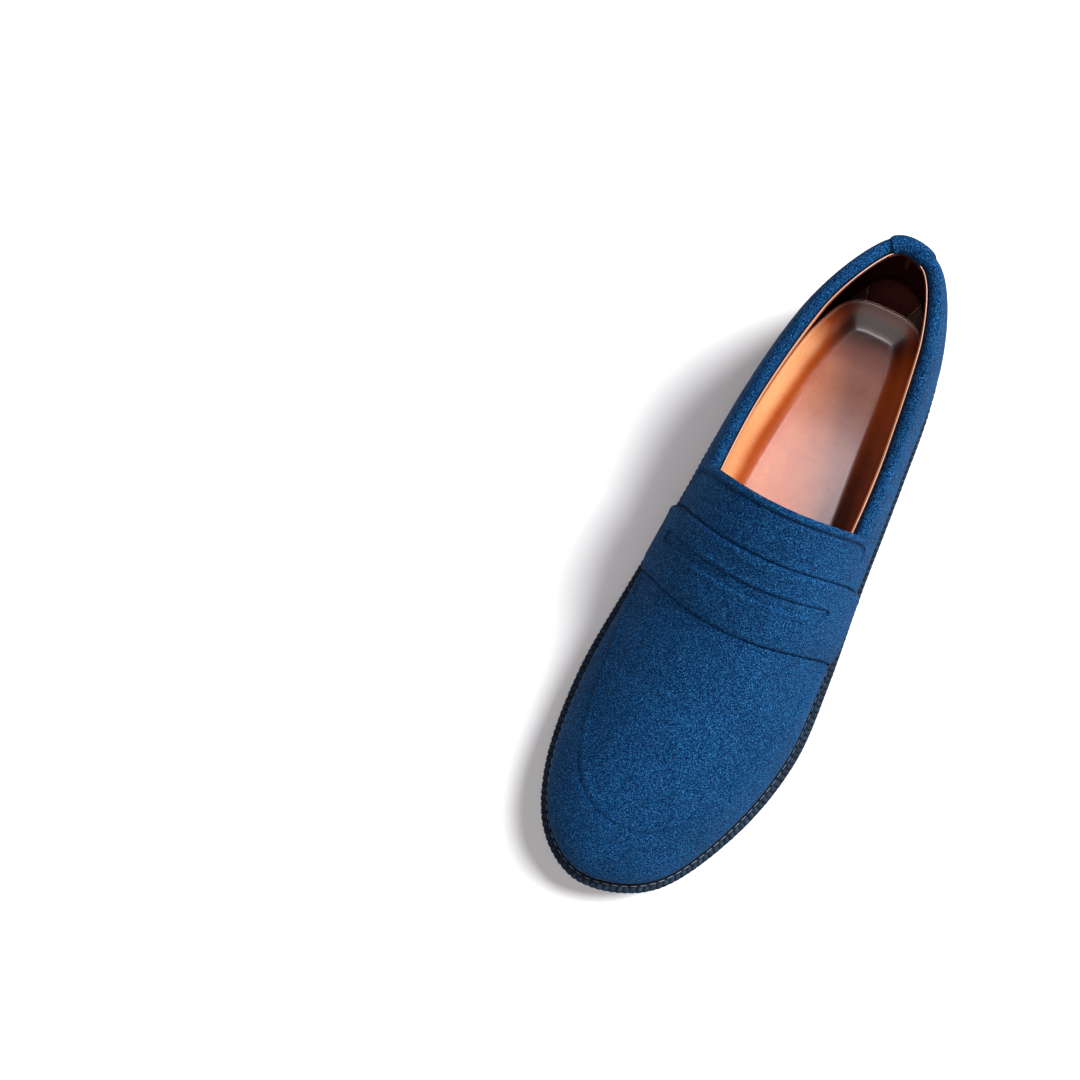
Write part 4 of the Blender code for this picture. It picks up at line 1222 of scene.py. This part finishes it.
def build_stage():
    """A white paper floor, the lights, with the key behind the heel, and the camera over the shoe."""
    mesh = bmesh.new()
    bmesh.ops.create_grid(mesh, x_segments=1, y_segments=1, size=FLOOR_SIZE / 2)
    floor = mesh_object("floor", mesh)
    # White paper: matt and a little off white, so that the shadow shows on it
    floor.data.materials.append(new_material("white_paper", "F6F6F6", 0.9, Specular_IOR_Level=0.1)[0])

    world = bpy.data.worlds.new("studio")
    world.use_nodes = True
    background = world.node_tree.nodes["Background"]
    background.inputs["Color"].default_value = linear("FFFFFF")
    seen = add_node(world.node_tree, "ShaderNodeLightPath")
    # The backdrop is nearly white, and gives the shoe little light of its own
    strength = add_node(
        world.node_tree, "ShaderNodeMapRange", {"To Min": WORLD_LIGHT, "To Max": WORLD_SEEN},
        Value=(seen, "Is Camera Ray"),
    )
    world.node_tree.links.new(strength.outputs[0], background.inputs["Strength"])
    bpy.context.scene.world = world
    for light in LIGHTS:
        area_light(*light)

    data = bpy.data.cameras.new("camera")
    data.lens = CAMERA_LENS
    data.sensor_width = CAMERA_SENSOR
    camera = placed("camera", data)
    camera.location = CAMERA_PLACE
    camera.rotation_euler = CAMERA_TURN
    bpy.context.scene.camera = camera
    bpy.context.scene.view_settings.view_transform = "Standard"


# ---------------------------------------------------------------- operators and panel


class LOAFER_OT_stage(bpy.types.Operator):
    """Adds the floor, the lights and the camera"""

    bl_idname = "loafer.stage"
    bl_label = "Stage"

    def execute(self, context):
        build_stage()
        return {"FINISHED"}


class LOAFER_OT_forepart(bpy.types.Operator):
    """Adds the vamp and the apron with its ridge"""

    bl_idname = "loafer.forepart"
    bl_label = "Vamp and apron"

    def execute(self, context):
        build_vamp()
        build_apron()
        return {"FINISHED"}


class LOAFER_OT_quarters(bpy.types.Operator):
    """Adds the two quarters with their turned topline"""

    bl_idname = "loafer.quarters"
    bl_label = "Quarters"

    def execute(self, context):
        build_quarters()
        return {"FINISHED"}


class LOAFER_OT_tongue(bpy.types.Operator):
    """Adds the tongue and its hem"""

    bl_idname = "loafer.tongue"
    bl_label = "Tongue"

    def execute(self, context):
        build_tongue()
        build_hem_stitches()
        return {"FINISHED"}


class LOAFER_OT_strap(bpy.types.Operator):
    """Adds the slotted saddle strap"""

    bl_idname = "loafer.strap"
    bl_label = "Strap"

    def execute(self, context):
        build_strap()
        return {"FINISHED"}


class LOAFER_OT_heel_tab(bpy.types.Operator):
    """Adds the pull tab at the back"""

    bl_idname = "loafer.heel_tab"
    bl_label = "Heel tab"

    def execute(self, context):
        build_heel_tab()
        return {"FINISHED"}


class LOAFER_OT_linings(bpy.types.Operator):
    """Adds the linings, their cut edge and their stitching"""

    bl_idname = "loafer.linings"
    bl_label = "Linings"

    def execute(self, context):
        build_linings()
        build_raw_edge()
        build_heel_stitches()
        return {"FINISHED"}


class LOAFER_OT_sock(bpy.types.Operator):
    """Adds the dished sock and finishes the hidden parts"""

    bl_idname = "loafer.sock"
    bl_label = "Sock and inner parts"

    def execute(self, context):
        build_sock()
        build_inner_parts()
        return {"FINISHED"}


class LOAFER_OT_welt(bpy.types.Operator):
    """Adds the ribbed welt and its stitching"""

    bl_idname = "loafer.welt"
    bl_label = "Welt"

    def execute(self, context):
        build_welt()
        build_welt_stitches()
        return {"FINISHED"}


class LOAFER_OT_sole(bpy.types.Operator):
    """Adds the outsole and the heel stack"""

    bl_idname = "loafer.sole"
    bl_label = "Outsole and heel"

    def execute(self, context):
        build_outsole()
        build_heel()
        return {"FINISHED"}


OPERATORS = (
    LOAFER_OT_stage, LOAFER_OT_forepart, LOAFER_OT_quarters, LOAFER_OT_tongue, LOAFER_OT_strap,
    LOAFER_OT_heel_tab, LOAFER_OT_linings, LOAFER_OT_sock, LOAFER_OT_welt, LOAFER_OT_sole,
)


class LOAFER_PT_panel(bpy.types.Panel):
    """Lists the steps of the loafer and the sizes and colours that can be changed"""

    bl_label = "Penny Loafer"
    bl_space_type = "VIEW_3D"
    bl_region_type = "UI"
    bl_category = "Loafer"

    def draw(self, context):
        for operator in OPERATORS:
            self.layout.operator(operator.bl_idname)
        for group in (context.scene.loafer_sizes, context.scene.loafer_colours):
            for name in group.bl_rna.properties.keys():
                if name not in ("rna_type", "name"):
                    self.layout.prop(group, name)


CLASSES = (LoaferSizes, LoaferColours, *OPERATORS, LOAFER_PT_panel)


def register():
    for item in CLASSES:
        bpy.utils.register_class(item)
    bpy.types.Scene.loafer_sizes = bpy.props.PointerProperty(type=LoaferSizes)
    bpy.types.Scene.loafer_colours = bpy.props.PointerProperty(type=LoaferColours)


def unregister():
    del bpy.types.Scene.loafer_colours
    del bpy.types.Scene.loafer_sizes
    for item in reversed(CLASSES):
        bpy.utils.unregister_class(item)


def main():
    register()
    bpy.ops.loafer.stage()
    bpy.ops.loafer.forepart()
    bpy.ops.loafer.quarters()
    bpy.ops.loafer.tongue()
    bpy.ops.loafer.strap()
    bpy.ops.loafer.heel_tab()
    bpy.ops.loafer.linings()
    bpy.ops.loafer.sock()
    bpy.ops.loafer.welt()
    bpy.ops.loafer.sole()


if __name__ == "__main__":
    main()
